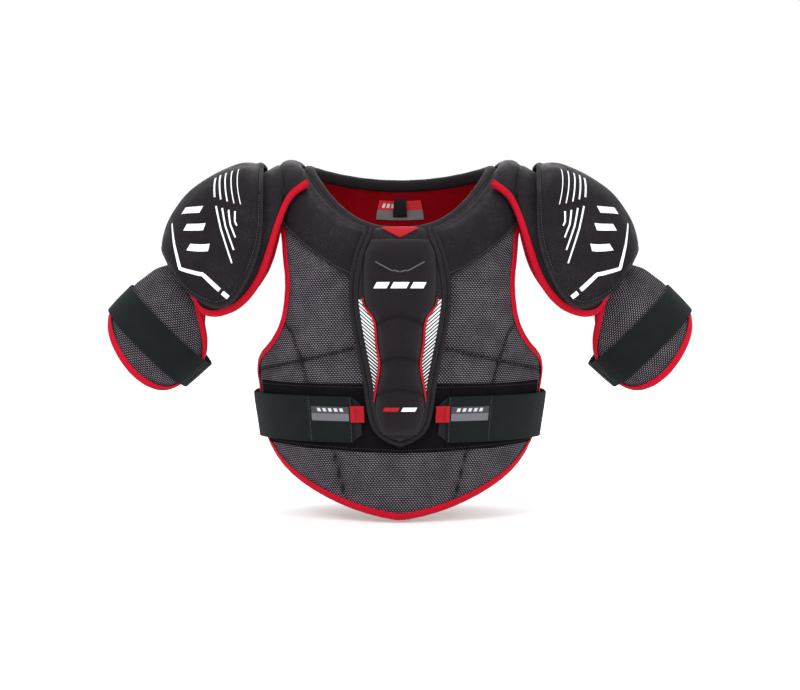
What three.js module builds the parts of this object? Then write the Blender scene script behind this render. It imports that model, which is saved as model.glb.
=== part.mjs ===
// Ice hockey shoulder pads: a padded vest with a floating breastbone pad, two waist belts, and on each side a
// shoulder wing that carries a shoulder cap and an upper arm guard with its elastic strap.
// Millimetres, +Z up, front towards -Y. The origin is midway between the tops of the wearer's shoulders.
import * as THREE from "three";

// ---------------------------------------------------------------------------------------------------------------
// Driving dimensions
// ---------------------------------------------------------------------------------------------------------------
const CHEST_HALF_WIDTH = 174; // body column of the vest, outside, at its widest
const CHEST_FRONT = 119; // its depth ahead of the origin
const CHEST_BACK = 111; // and behind it
const NECK_HALF_WIDTH = 107; // neck opening, centre to the neckline at the shoulder
const NECK_FRONT = CHEST_FRONT - 25;
const NECK_BACK = CHEST_BACK - 25;
const NECKLINE_FRONT_Z = -64;
const NECKLINE_SIDE_Z = 9;
const NECKLINE_BACK_Z = -8;
const COLUMN_TOP_Z = -110; // the body column turns into the shoulder cape here
const CAPE_SPAN = 110; // pattern height of the cape: 0 is the neckline
const CAPE_SQUARENESS = 0.7; // exponent of the shoulder curve, 1 is an ellipse
const CAPE_TURN_FRONT = 62; // degrees the cape has turned at the neckline, front and back
const CAPE_TURN_SIDE = 90; // and over the shoulder

const COVER = 1.0; // fabric cover of the vest
const FOAM = 6.5;
const LINER = 1.0;
const LAYER_GAP = 0.3; // between layers that are sewn together
const VEST_THICKNESS = COVER + FOAM + LINER + 2 * LAYER_GAP;
const BINDING_RADIUS = 4.2; // padded edge tape of the vest
const PANEL_SIDE = 0.958; // share of a panel's half width inside its edge tape
const SEAM_DEG = 89.7 / PANEL_SIDE; // the panels meet over the shoulder, at 90 degrees
const COLLAR_RADIUS = 4.5; // rolled edge of the neck opening
const YOKE = 2.4; // padded overlay on the collarbones and upper back
const OVERLAY_GAP = 1.5; // under a piece whose facets don't match those beneath it
const EDGE_GAP = 0.7; // between a pad and its edge tape
const BAND = 1.1; // loop landing for the belts
const BAND_TOP = -239;
const BAND_BOTTOM = -319;
const BAND_RISE = 0.11; // mm that its lower edge climbs for each degree from the centre line
const BAND_REACH_DEG = 70;
const YOKE_SEAM_INNER = [59, -125]; // x and z where each front yoke's lower seam starts and ends
const YOKE_SEAM_OUTER = [137, -58];
const PLATE_FACE_Y = CHEST_BACK + 13; // flat back of the spine plate
const LABEL_LIFT = 1.8;

const BELT_WIDTH = 53;
const BELT_TOP = -253;
const BELT_THICKNESS = 2.3;
const BELT_LIFT = 4.8; // from the cover's face to the belt's inner face
const BELT_END_DEG = 18.5; // front end of the elastic, from the centre line
const BELT_HINGE_DEG = 90; // the belt bends open at the wearer's side
const BELT_SEWN_DEG = 136; // and is sewn down on the back
const HINGE_GAP_DEG = 0.9;
const HOOK_TAB = 1.3;
const HOOK_TAB_END_DEG = 15.2;
const HOOK_CHAMFER = 0.14; // share of the belt's width cut off each corner
const PULL_THICKNESS = 1.8;

const STERNUM_LIFT = 5.8; // breastbone pad clear of the yokes and the band
const STERNUM_THICKNESS = 11;
const STERNUM_EDGE = 6; // thickness at its piped rim
const STERNUM_TOP_Z = -68;
const STERNUM_BOTTOM_Z = -303;
const PIPING_RADIUS = 3.2;
const SHELL = 2.6; // raised centre of the breastbone pad
const TRIM_RADIUS = 1.3;

const WING = 7; // thickness of the shoulder wing
const WING_BINDING_RADIUS = 4;
const WING_EDGE_GAP = WING / 5; // a thicker wing bulges further past its edge
const CAP_COVER = 1.6;
const CAP_SHELL = 2; // moulded insert
const CAP_FOAM = 3.4;
const CAP_MARGIN = 0.05; // share of the cap's cover round its insert
const CAP_VENT_ROWS = [[0.26, 0.31], [0.4, 0.45], [0.54, 0.59]]; // slots through the insert, up the cap
const PLATE_VENT_ROWS = [[0.26, 0.32], [0.44, 0.5], [0.62, 0.68]]; // and through the spine plate

const SHOULDER_X = CHEST_HALF_WIDTH + 14; // axis of the arm at the shoulder
const SHOULDER_Z = -74;
const ARM_DEG = 45; // how far the arm is held out from hanging straight down
const GUARD = 7; // thickness of the upper arm guard
const GUARD_REACH = 53; // out from the arm's axis
const GUARD_HALF_WIDTH = 64;
const GUARD_HALF_DEPTH = 58;
const GUARD_BINDING_RADIUS = 3.8;
const STRAP_TOP = 132; // elastic arm strap, along the arm
const STRAP_WIDTH = 41;
const STRAP_THICKNESS = 2.2;
const STRAP_LIFT = 1.5;
const STRAP_FRONT_DEG = -72; // round the arm: 0 is the front, 90 the outside, 180 the back
const STRAP_BACK_DEG = 221;
const STRAP_SPLIT_DEG = 1.2;
const GUARD_BACK_SHARE = 0.6;

// How far the body column stands inside its widest size at each height.
const COLUMN_SIDE_TAPER = [[-400, 22], [-350, 17], [-306, 11], [-256, 4], [-226, 1], [-170, 0], [-110, 2]];
const COLUMN_FRONT_TAPER = [[-400, 13], [-330, 6], [-280, 2], [-220, 0], [-160, 1], [-110, 8]];
const COLUMN_BACK_TAPER = [[-350, 11], [-280, 4], [-200, 0], [-110, 6]];

// Flat patterns: degrees round the body from the centre line, and height (from COLUMN_TOP_Z up, height in the cape).
const FRONT_HEM = [[0, -399], [14, -391], [28, -379], [46, -359], [62, -336], [76.5, -306]];
const FRONT_SIDE = [
  [76.5, -306], [77.5, -256], [77.5, -241], [79.5, -226], [75, -211], [61.5, -193], [53, -167],
  [50.5, -130], [52, -97], [56, -64], [68.5, -41], [SEAM_DEG, -34],
];
const BACK_HEM = [[0, -348], [30, -345], [52, -336], [70, -319], [75, -306]];
const BACK_SIDE = [
  [75, -306], [75, -262], [76, -240], [75, -222], [66, -205], [55, -190], [49, -167],
  [47, -130], [50, -97], [55, -64], [68, -41], [SEAM_DEG, -34],
];
const SEAM_SHARE = 0.09; // share of a side outline that is the shoulder seam

// Shoulder wing and cap on the +X side, from the neck to the arm: their front edge, ridge and back edge. Each point
// is its distance out from the arm's axis, its share of the half depth, and its height above the arm's axis.
const WING_HALF_DEPTH = Math.max(CHEST_FRONT - 33, GUARD_HALF_DEPTH + 28);
const CAP_HALF_DEPTH = WING_HALF_DEPTH + 13;
const DRAWN_REACH = 81; // from the arm's axis to the neckline; the inner part stretches to the real neckline
const WING_ROOT_DEG = [61, 119]; // where the wing's edges start beside the neck, round the body
const WING_ROOT_HEIGHT = -9; // on the cape's pattern
const WING_CLEARANCE = 3.6; // between the wing and the yokes there
const WING_FRONT = [
  [-60, -0.78, 52], [-47, -0.91, 22], [-38, -0.98, -10], [-25, -1, -49], [-4, -0.98, -77],
  [20, -0.93, -88], [38, -0.88, -86], [48, -0.83, -75],
];
const WING_RIDGE = [
  [-75, 0, 94], [-51, 0, 94], [-28, 0, 80], [-2, 0, 78], [24, 0, 69], [47, 0, 55], [65, 0, 35], [76, 0, 12],
  [80, 0, -12],
];
const WING_BACK = [
  [-60, 0.76, 76], [-46, 0.89, 48], [-37, 0.97, 8], [-25, 1, -36], [-4, 0.98, -68],
  [20, 0.93, -83], [38, 0.88, -84], [48, 0.83, -75],
];
const CAP_FRONT = [
  [-28, -0.38, 87], [-30, -0.85, 50], [-28, -0.98, 0], [-16, -1, -39], [3, -0.98, -70], [21, -0.95, -79],
  [41, -0.91, -73], [61, -0.85, -59], [78, -0.69, -38], [90, -0.4, -20],
];
const CAP_RIDGE = [
  [-25, 0, 92], [0, 0, 91], [25, 0, 82], [45, 0, 71], [61, 0, 59], [74, 0, 45], [84, 0, 30], [91, 0, 14],
  [95, 0, 0], [96, 0, -10],
];
const SADDLE_SQUARENESS = 0.92; // exponent of a rib's curve, 1 is an ellipse

// How far the arm guard stands inside those sizes at each distance along the arm.
const GUARD_REACH_TAPER = [[62, 17], [76, 15], [100, 4], [135, 0], [172, 1], [205, 5]];
const GUARD_WIDTH_TAPER = [[62, 11], [100, 4], [135, 0], [205, 4]];
const GUARD_DEPTH_TAPER = [[62, 12], [93, 5], [135, 0], [205, 2]];
// Flat pattern of the arm guard: degrees round the arm from the front, and distance along it.
const GUARD_FRONT_EDGE = [[-71, 172], [-73, 150], [-66, 131], [-50, 114], [-30, 101], [-10, 90], [4, 80], [5, 62]];
const GUARD_FOOT = [[-71, 172], [-58, 192], [-31, 203], [0, 204], [38, 194], [72, 178], [90, 172]];

const RED = 0xc8101c;
const BLACK = 0x1b1a1c;

// ---------------------------------------------------------------------------------------------------------------
// Curves and surfaces
// ---------------------------------------------------------------------------------------------------------------
const radians = THREE.MathUtils.degToRad;
const vector = (x, y, z) => new THREE.Vector3(x, y, z);
const steps = (count) => Array.from({ length: count + 1 }, (_, i) => i / count);
const mix = THREE.MathUtils.lerp;

/** A smooth function through [position, value] stations, level past both ends. */
function through(points) {
  const last = points.length - 1;
  const slope = (i) => {
    const [before, after] = [points[Math.max(i - 1, 0)], points[Math.min(i + 1, last)]];
    return (after[1] - before[1]) / (after[0] - before[0]);
  };
  return (x) => {
    if (x <= points[0][0]) return points[0][1];
    if (x >= points[last][0]) return points[last][1];
    let i = 0;
    while (x > points[i + 1][0]) i++;
    const [[x0, y0], [x1, y1]] = [points[i], points[i + 1]];
    const width = x1 - x0;
    const t = (x - x0) / width;
    const ease = t * t * (3 - 2 * t);
    const bend = t * (1 - t) * width;
    return y0 + (y1 - y0) * ease + bend * ((1 - t) * slope(i) - t * slope(i + 1));
  };
}

/** A smooth curve through points, read by its share of length. */
function curveThrough(points, closed = false) {
  const path = new THREE.CatmullRomCurve3(points.map((p) => vector(...p)), closed, "catmullrom", 0.5);
  path.arcLengthDivisions = 400;
  return path;
}

const tapered = (size, taper) => through(taper.map(([z, inside]) => [z, size - inside]));
const columnHalfWidth = tapered(CHEST_HALF_WIDTH, COLUMN_SIDE_TAPER);
const columnFront = tapered(CHEST_FRONT, COLUMN_FRONT_TAPER);
const columnBack = tapered(CHEST_BACK, COLUMN_BACK_TAPER);

/** Points up one meridian of the shoulder cape, from the body column to the neckline. */
function capeMeridian(degrees) {
  const [s, c] = [Math.sin(radians(degrees)), Math.cos(radians(degrees))];
  const front = c >= 0;
  const depth = front ? columnFront(COLUMN_TOP_Z) : columnBack(COLUMN_TOP_Z);
  const foot = vector(columnHalfWidth(COLUMN_TOP_Z) * s, -depth * c, COLUMN_TOP_Z);
  const rise = front ? Math.abs(s) ** 2.6 : Math.abs(s) ** 2;
  const neckZ = mix(front ? NECKLINE_FRONT_Z : NECKLINE_BACK_Z, NECKLINE_SIDE_Z, rise);
  const neck = vector(NECK_HALF_WIDTH * s, -(front ? NECK_FRONT : NECK_BACK) * c, neckZ);
  const turn = radians(mix(CAPE_TURN_FRONT, CAPE_TURN_SIDE, s * s));
  const inward = 1 - Math.cos(turn) ** CAPE_SQUARENESS;
  const upward = Math.sin(turn) ** CAPE_SQUARENESS;
  return steps(36).map((t) => {
    const angle = turn * t ** 1.4;
    const share = (1 - Math.max(Math.cos(angle), 0) ** CAPE_SQUARENESS) / inward;
    const up = Math.sin(angle) ** CAPE_SQUARENESS / upward;
    return vector(mix(foot.x, neck.x, share), mix(foot.y, neck.y, share), mix(foot.z, neck.z, up));
  });
}

/** A point on the vest's outer face: degrees round the body from the front, and pattern height. */
function torsoFace(degrees, height) {
  if (height <= COLUMN_TOP_Z) {
    const [s, c] = [Math.sin(radians(degrees)), Math.cos(radians(degrees))];
    const depth = c >= 0 ? columnFront(height) : columnBack(height);
    return vector(columnHalfWidth(height) * s, -depth * c, height);
  }
  const points = capeMeridian(degrees);
  const lengths = [0];
  for (let i = 1; i < points.length; i++) lengths.push(lengths[i - 1] + points[i].distanceTo(points[i - 1]));
  const wanted = Math.min((height - COLUMN_TOP_Z) / CAPE_SPAN, 1) * lengths.at(-1);
  let i = 0;
  while (i < points.length - 2 && lengths[i + 1] < wanted) i++;
  return points[i].clone().lerp(points[i + 1], (wanted - lengths[i]) / (lengths[i + 1] - lengths[i]));
}

/** The point that lies lift outside the vest's outer face. */
function torso(degrees, height, lift = 0) {
  const height0 = Math.min(height, -3);
  const across = torsoFace(degrees + 1.5, height0).sub(torsoFace(degrees - 1.5, height0));
  const upward = torsoFace(degrees, height0 + 3).sub(torsoFace(degrees, height0 - 3));
  return torsoFace(degrees, height).addScaledVector(across.cross(upward).normalize(), lift);
}

/** The surface between four outlines that meet at their corners, u along bottom and top, v up the sides. */
function patch(bottom, top, left, right) {
  return (u, v) => {
    const corners = [bottom(0), bottom(1), top(0), top(1)];
    return vector(0, 0, 0)
      .addScaledVector(bottom(u), 1 - v).addScaledVector(top(u), v)
      .addScaledVector(left(v), 1 - u).addScaledVector(right(v), u)
      .addScaledVector(corners[0], -(1 - u) * (1 - v)).addScaledVector(corners[1], -u * (1 - v))
      .addScaledVector(corners[2], -(1 - u) * v).addScaledVector(corners[3], -u * v);
  };
}

const MM_PER_DEGREE = 2.6; // girth of the pattern, so that share of length means the same both ways

/** A flat pattern half, u 0 at the centre line to 1 at the side, v 0 at the hem to 1 at the neckline. */
function halfPattern(hemPoints, sidePoints) {
  const flat = (points) => curveThrough(points.map(([d, h]) => [d * MM_PER_DEGREE, h, 0]));
  const [hem, side] = [flat(hemPoints), flat(sidePoints)];
  const seamStart = sidePoints.at(-1);
  const sideAt = (v) => v < 1 - SEAM_SHARE
    ? side.getPointAt(v / (1 - SEAM_SHARE))
    : vector(seamStart[0] * MM_PER_DEGREE, seamStart[1] * (1 - v) / SEAM_SHARE, 0);
  const centreAt = (v) => vector(0, mix(hemPoints[0][1], 0, v), 0);
  const neckAt = (u) => vector(seamStart[0] * MM_PER_DEGREE * u, 0, 0);
  const inside = patch((u) => hem.getPointAt(u), neckAt, centreAt, sideAt);
  return (u, v) => {
    const p = inside(Math.abs(u), v);
    return [Math.sign(u) * p.x / MM_PER_DEGREE, p.y];
  };
}

const frontPattern = halfPattern(FRONT_HEM, FRONT_SIDE);
const backPattern = halfPattern(BACK_HEM, BACK_SIDE);
const onFront = (u, v, lift) => torso(...frontPattern(u, v), lift);
const onBack = (u, v, lift) => {
  const [degrees, height] = backPattern(u, v);
  return torso(180 - degrees, height, lift);
};

// ---------------------------------------------------------------------------------------------------------------
// Solids
// ---------------------------------------------------------------------------------------------------------------
/** Turns every face of an inside-out geometry round. */
function facingOut(geometry) {
  const p = geometry.attributes.position;
  const index = geometry.index.array;
  const [a, b, c] = [vector(), vector(), vector()];
  let volume = 0;
  for (let i = 0; i < index.length; i += 3) {
    a.fromBufferAttribute(p, index[i]);
    b.fromBufferAttribute(p, index[i + 1]);
    c.fromBufferAttribute(p, index[i + 2]);
    volume += a.dot(b.cross(c));
  }
  if (volume < 0) for (let i = 0; i < index.length; i += 3) [index[i + 1], index[i + 2]] = [index[i + 2], index[i + 1]];
  return geometry;
}

const solid = () => false;

/** A closed pad between two faces, each read on the same grid of columns by rows. Its vents go right through. */
function pad(face, back, columns, rows, isVent) {
  const wide = columns.length;
  const across = rows.length;
  const points = [face, back].flatMap((f) => rows.flatMap((v) => columns.map((u) => f(u, v))));
  const at = (layer, i, j) => (layer * across + j) * wide + i;
  const index = [];
  const quad = (p, q, r, s) => index.push(p, q, r, p, r, s);
  const halfway = (columns[0] + columns.at(-1)) / 2;
  const isOpen = (i, j) => i < 0 || j < 0 || i > wide - 2 || j > across - 2
    || isVent((columns[i] + columns[i + 1]) / 2, (rows[j] + rows[j + 1]) / 2);
  const wall = (a, b) => quad(at(0, ...a), at(0, ...b), at(1, ...b), at(1, ...a));
  for (let j = 0; j < across - 1; j++) {
    for (let i = 0; i < wide - 1; i++) {
      if (isOpen(i, j)) continue;
      if (isOpen(i - 1, j)) wall([i, j], [i, j + 1]);
      if (isOpen(i + 1, j)) wall([i + 1, j + 1], [i + 1, j]);
      if (isOpen(i, j - 1)) wall([i + 1, j], [i, j]);
      if (isOpen(i, j + 1)) wall([i, j + 1], [i + 1, j + 1]);
      const around = [[i, j], [i + 1, j], [i + 1, j + 1], [i, j + 1]];
      // Each half of a symmetric pad is split along mirrored diagonals, and both faces alike.
      if (columns[i] + columns[i + 1] > 2 * halfway) around.push(around.shift());
      const [p, q, r, s] = around;
      quad(at(0, ...p), at(0, ...q), at(0, ...r), at(0, ...s));
      quad(at(1, ...p), at(1, ...s), at(1, ...r), at(1, ...q));
    }
  }
  const geometry = new THREE.BufferGeometry().setFromPoints(points).setIndex(index);
  return facingOut(geometry);
}

/** A closed pad between two lifts over a surface read as at(u, v, lift). */
const padOn = (at, inner, outer, columns, rows, isVent = solid) =>
  pad((u, v) => at(u, v, outer), (u, v) => at(u, v, inner), columns, rows, isVent);

const within = (spans, value) => spans.some(([low, high]) => value > low && value < high);

/** A route that passes its points at even steps, so that a tube along it keeps to the facets beside it. */
class Route extends THREE.Curve {
  constructor(points) {
    super();
    this.points = points;
  }

  getPointAt(t) {
    const place = t * (this.points.length - 1);
    const i = Math.min(Math.floor(place), this.points.length - 2);
    return this.points[i].clone().lerp(this.points[i + 1], place - i);
  }

  getTangentAt(t) {
    const half = 0.5 / (this.points.length - 1);
    return this.getPointAt(Math.min(t + half, 1)).sub(this.getPointAt(Math.max(t - half, 0))).normalize();
  }
}

/** Round tape or cord from point to point, with flat ends. */
function tape(points, radius, sides = 6) {
  const section = new THREE.Shape(steps(sides).slice(0, -1).map((t) => new THREE.Vector2(
    radius * Math.cos(2 * Math.PI * t), radius * Math.sin(2 * Math.PI * t))));
  const extrudePath = new Route(points);
  return new THREE.ExtrudeGeometry(section, { extrudePath, steps: points.length - 1, bevelEnabled: false });
}

/** Points a distance outside a pad's edge, one for each of its corners: down one side, along the foot and up. */
function rim(at, columns, rows, distance, lift) {
  const corners = [
    ...rows.map((v) => [columns[0], v]).reverse(),
    ...columns.slice(1, -1).map((u) => [u, rows[0]]),
    ...rows.map((v) => [columns.at(-1), v]),
  ];
  const edge = corners.map(([u, v]) => at(u, v, lift));
  const away = edge.slice(1).map((p, i) => p.clone().sub(edge[i]).cross(at(...corners[i], lift + 1).sub(edge[i])));
  const foot = rows.length;
  const inward = at(columns[1], rows[1], lift).sub(edge[foot]);
  const sign = -Math.sign(away[foot].dot(inward));
  for (const direction of away) direction.normalize().multiplyScalar(sign);
  return edge.map((p, i) => {
    const [before, after] = [away[Math.max(i - 1, 0)], away[Math.min(i, away.length - 1)]];
    return p.clone().addScaledVector(before.clone().add(after), distance / (1 + before.dot(after)));
  });
}

const part = new THREE.Group();

/** Adds a named piece in its own material. */
function add(name, geometry, color, roughness = 0.8, metalness = 0) {
  const mesh = new THREE.Mesh(geometry, new THREE.MeshStandardMaterial({ color, roughness, metalness }));
  mesh.name = name;
  part.add(mesh);
}

/** The same geometry on the wearer's other side, with its faces still pointing out. */
function mirrored(geometry) {
  const copy = geometry.clone().applyMatrix4(new THREE.Matrix4().makeScale(-1, 1, 1));
  if (!copy.index) copy.setIndex([...Array(copy.attributes.position.count).keys()]);
  return facingOut(copy);
}

/** Adds a piece on the +X side and its mirror image on the -X side. */
function addPair(name, geometry, color, roughness) {
  add(`${name}_right`, geometry, color, roughness);
  add(`${name}_left`, mirrored(geometry), color, roughness);
}

// ---------------------------------------------------------------------------------------------------------------
// Vest: front and back panels of liner, foam and cover, their edge tape, yokes and belt landing
// ---------------------------------------------------------------------------------------------------------------
const panelFoot = (BINDING_RADIUS * 2) / -FRONT_HEM[0][1];
const seamFoot = 1 - SEAM_SHARE;
const panelTop = 1 - (COLLAR_RADIUS + 1) / -FRONT_HEM[0][1];
const panelColumns = steps(12).map((t) => mix(-PANEL_SIDE, PANEL_SIDE, t));
const sideRows = steps(9).map((t) => mix(panelFoot, seamFoot, t));
const panelRows = [...sideRows, panelTop];
const layers = [
  ["cover", -COVER, 0, 0x35343a],
  ["foam", -COVER - LAYER_GAP - FOAM, -COVER - LAYER_GAP, 0x8a8a8a],
  ["liner", -VEST_THICKNESS, -VEST_THICKNESS + LINER, RED],
];
for (const [layer, inner, outer, color] of layers) {
  add(`front_${layer}`, padOn(onFront, inner, outer, panelColumns, panelRows), color);
  add(`back_${layer}`, padOn(onBack, inner, outer, panelColumns, panelRows), color);
}

const bindingReach = BINDING_RADIUS + EDGE_GAP;
for (const [panel, at] of [["front", onFront], ["back", onBack]]) {
  const edge = rim(at, panelColumns, sideRows.slice(0, -1), bindingReach, -VEST_THICKNESS / 2);
  add(`${panel}_binding`, tape(edge, BINDING_RADIUS), RED, 0.6);
}

const collarLine = steps(36).slice(0, -1).map((t) =>
  torso(360 * t, 0, -VEST_THICKNESS / 2).add(vector(0, 0, COLLAR_RADIUS + 2)));
const collarCurve = new THREE.CatmullRomCurve3(collarLine, true, "centripetal");
add("neck_binding", new THREE.TubeGeometry(collarCurve, 40, COLLAR_RADIUS, 6, true), BLACK, 0.7);

/** How far up a front panel column the point at height z lies. */
function rowAtHeight(u, z) {
  let [low, high] = [0, 1];
  for (let i = 0; i < 24; i++) {
    const middle = (low + high) / 2;
    if (onFront(u, middle, 0).z < z) low = middle;
    else high = middle;
  }
  return low;
}

// The yokes share the panels' rows above their seams, so that both bend over the shoulder alike.
const yokeLift = [OVERLAY_GAP, OVERLAY_GAP + YOKE];
const yokeSeamZ = (x) => mix(YOKE_SEAM_INNER[1], YOKE_SEAM_OUTER[1],
  (x - YOKE_SEAM_INNER[0]) / (YOKE_SEAM_OUTER[0] - YOKE_SEAM_INNER[0]));
const [lowerYokeRow, upperYokeRow] = panelRows.slice(-3);
const frontYoke = (u, v, lift) => {
  if (v >= lowerYokeRow) return onFront(u, v, lift);
  const seam = Math.min(rowAtHeight(u, yokeSeamZ(onFront(u, 0.72, 0).x)), lowerYokeRow - 0.01);
  return onFront(u, mix(seam, lowerYokeRow, v), lift);
};
const yokeColumns = panelColumns.filter((u) => u > 0.1);
addPair("front_yoke", padOn(frontYoke, ...yokeLift, yokeColumns,
  [0, 0.33, 0.66, lowerYokeRow, upperYokeRow, panelTop]), BLACK);
add("back_yoke", padOn(onBack, ...yokeLift, panelColumns, panelRows.slice(-5)), BLACK);

const bandFace = (degrees, share, lift) =>
  torso(degrees, mix(BAND_BOTTOM + Math.abs(degrees) * BAND_RISE, BAND_TOP, share), lift);
add("loop_band", padOn(bandFace, OVERLAY_GAP, OVERLAY_GAP + BAND,
  steps(12).map((t) => mix(-BAND_REACH_DEG, BAND_REACH_DEG, t)), steps(3)), 0x0c0c0d, 0.95);

// A stiff spine pad whose outer face is flat, so that the vest can lie on its back.
const plateHalfWidth = through([[-290, 22], [-250, 36], [-195, 46], [-155, 44], [-140, 34]]);
const spinePlate = (u, v, lift) => {
  const z = mix(-290, -140, v);
  const x = u * plateHalfWidth(z);
  if (lift) return vector(x * 0.86, PLATE_FACE_Y, mix(z, -215, 0.06));
  return torso(180 - THREE.MathUtils.radToDeg(Math.asin(x / columnHalfWidth(z))), z, OVERLAY_GAP);
};
const plateRows = [0, 0.13, ...PLATE_VENT_ROWS.flat(), 0.84, 1];
add("spine_plate", padOn(spinePlate, 0, 1, [-1, -0.68, -0.12, 0.12, 0.68, 1], plateRows,
  (u, v) => Math.abs(u) > 0.12 && Math.abs(u) < 0.68 && within(PLATE_VENT_ROWS, v)), 0x202023, 0.5);

// Size label and hanging loop, sewn inside the back of the neck.
const labelFace = (u, v, lift) => torso(180 - 11 * u, mix(-46, -16, v), -VEST_THICKNESS - LABEL_LIFT - lift);
add("neck_label", padOn(labelFace, 0, 0.6, [-1, 0, 1], [0, 1]), 0xb9b9bd, 0.6);
const loopFace = (u, v, lift) => labelFace(u * 0.29, mix(0.2, 1.2, v), 1 + OVERLAY_GAP + lift);
add("hanging_loop", padOn(loopFace, 0, 1.2, [-1, 1], steps(2)), BLACK);

// ---------------------------------------------------------------------------------------------------------------
// Waist belts: elastic sewn to the back, bending open at the side, with a hook tab and pull at the front end
// ---------------------------------------------------------------------------------------------------------------
const beltFace = (degrees, share, lift) => torso(degrees, BELT_TOP - BELT_WIDTH * (1 - share), BELT_LIFT + lift);
const beltSpan = (from, to, count) => steps(count).map((t) => mix(from, to, t));
const beltColumns = beltSpan(BELT_END_DEG, BELT_HINGE_DEG - HINGE_GAP_DEG, 9);
addPair("belt", padOn(beltFace, 0, BELT_THICKNESS, beltColumns, steps(2)), 0x1e2322, 0.9);
addPair("belt_back", padOn(beltFace, 0, BELT_THICKNESS,
  beltSpan(BELT_HINGE_DEG + HINGE_GAP_DEG, BELT_SEWN_DEG, 6), steps(2)), 0x1e2322, 0.9);
const hookTab = (degrees, share, lift) => {
  const cut = HOOK_CHAMFER * THREE.MathUtils.clamp((BELT_END_DEG - degrees) / (BELT_END_DEG - HOOK_TAB_END_DEG), 0, 1);
  return beltFace(degrees, mix(0.04 + cut, 0.96 - cut, share), lift);
};
addPair("belt_hook_tab", padOn(hookTab, -HOOK_TAB - LAYER_GAP, -LAYER_GAP,
  [HOOK_TAB_END_DEG, ...beltColumns.slice(0, 3)], steps(2)), 0x101011);
const onBelt = (low, high) => (degrees, share, lift) =>
  beltFace(degrees, mix(low, high, share), BELT_THICKNESS + LAYER_GAP + lift);
addPair("belt_pull", padOn(onBelt(0.42, 0.8), 0.2, PULL_THICKNESS, beltSpan(13.7, 19.2, 3), steps(2)), 0xd4121e);
addPair("belt_tag", padOn(onBelt(0.46, 0.78), 0.2, 0.8, beltSpan(19.8, 36, 3), steps(1)), 0x8c8d93);

// ---------------------------------------------------------------------------------------------------------------
// Breastbone pad, hung from the front neckline
// ---------------------------------------------------------------------------------------------------------------
const sternumHalfWidth = through([
  [-303, 4], [-299, 17], [-290, 27], [-270, 33], [-235, 38], [-199, 45], [-165, 51], [-134, 54], [-92, 48], [-68, 37],
]);

/** A point over the chest at x and z, lift outside the vest's face. */
function onChest(x, z, lift) {
  let degrees = THREE.MathUtils.radToDeg(Math.asin(x / columnHalfWidth(Math.min(z, COLUMN_TOP_Z))));
  if (z <= COLUMN_TOP_Z) return torso(degrees, z, lift);
  let height = z;
  for (let round = 0; round < 3; round++) {
    let [low, high] = [COLUMN_TOP_Z, 0];
    for (let i = 0; i < 18; i++) {
      height = (low + high) / 2;
      if (torsoFace(degrees, height).z < z) low = height;
      else high = height;
    }
    const reach = torsoFace(degrees, height).x;
    if (Math.abs(reach) > 1) degrees *= x / reach;
  }
  return torso(degrees, height, lift);
}

const sternumCrown = (u) => mix(STERNUM_THICKNESS, STERNUM_EDGE, u ** 4);
const sternumRows = [0, 0.03, 0.08, 0.18, 0.3, 0.42, 0.54, 0.66, 0.78, 0.9, 1];
const padHalfWidth = (z) => sternumHalfWidth(z) - PIPING_RADIUS;
const sternumPad = (u, v, depth) => {
  const z = mix(STERNUM_BOTTOM_Z, STERNUM_TOP_Z, v);
  return onChest(u * padHalfWidth(z), z, STERNUM_LIFT + depth * sternumCrown(u));
};
const sternumColumns = [-1, -0.66, -0.33, 0, 0.33, 0.66, 1];
add("sternum_pad", padOn(sternumPad, 0, 1, sternumColumns, sternumRows), 0x1d1c1e, 0.6);
const pipingLine = rim((u, v, lift) => onChest(u * padHalfWidth(mix(STERNUM_BOTTOM_Z, STERNUM_TOP_Z, v)),
  mix(STERNUM_BOTTOM_Z, STERNUM_TOP_Z, v), lift), sternumColumns, sternumRows,
PIPING_RADIUS + EDGE_GAP, STERNUM_LIFT + STERNUM_EDGE / 2 + LAYER_GAP);
add("sternum_piping", tape(pipingLine, PIPING_RADIUS), BLACK, 0.7);

/** A point on the breastbone pad's own face at x and z. */
const onSternum = (x, z, lift) =>
  onChest(x, z, STERNUM_LIFT + sternumCrown(x / padHalfWidth(z)) + OVERLAY_GAP + lift);
const shellHalfWidth = through([
  [-294, 19], [-270, 26], [-250, 25], [-216, 20], [-193, 23], [-165, 26], [-148, 37], [-92, 38], [-78, 31],
]);
const sternumShell = (u, v, lift) => {
  const z = mix(-294, -80, v);
  return onSternum(u * shellHalfWidth(z), z, lift);
};
add("sternum_shell", padOn(sternumShell, 0.3, SHELL, [-1, -0.5, 0, 0.5, 1], steps(12)), 0x242326, 0.45);

// A red cord runs down each side of the shell, with a pale insert between it and the piping.
const trimLine = steps(11).map((t) => mix(-284, -141, t)).map((z) =>
  onSternum(shellHalfWidth(z) + TRIM_RADIUS + 1.2, z, TRIM_RADIUS + 0.4));
addPair("sternum_trim", tape(trimLine, TRIM_RADIUS, 5), 0xd4121e, 0.4);
const sternumInsert = (u, v, lift) => {
  const z = mix(-250, -152, v);
  return onSternum(mix(shellHalfWidth(z) + 2 * TRIM_RADIUS + 2, padHalfWidth(z) - 0.6, u), z, lift);
};
addPair("sternum_insert", padOn(sternumInsert, 0.2, 1, steps(2), steps(6)), 0xe9e9ea, 0.4);
const sternumAccent = (u, v, lift) => {
  const x = 20 * u;
  return onSternum(x, mix(-77.5 + 6 * Math.abs(u), -70, v), lift);
};
add("sternum_accent", padOn(sternumAccent, 0.3, 1.6, [-0.9, -0.45, 0, 0.45, 0.9], steps(1)), 0xd4121e, 0.4);

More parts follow.
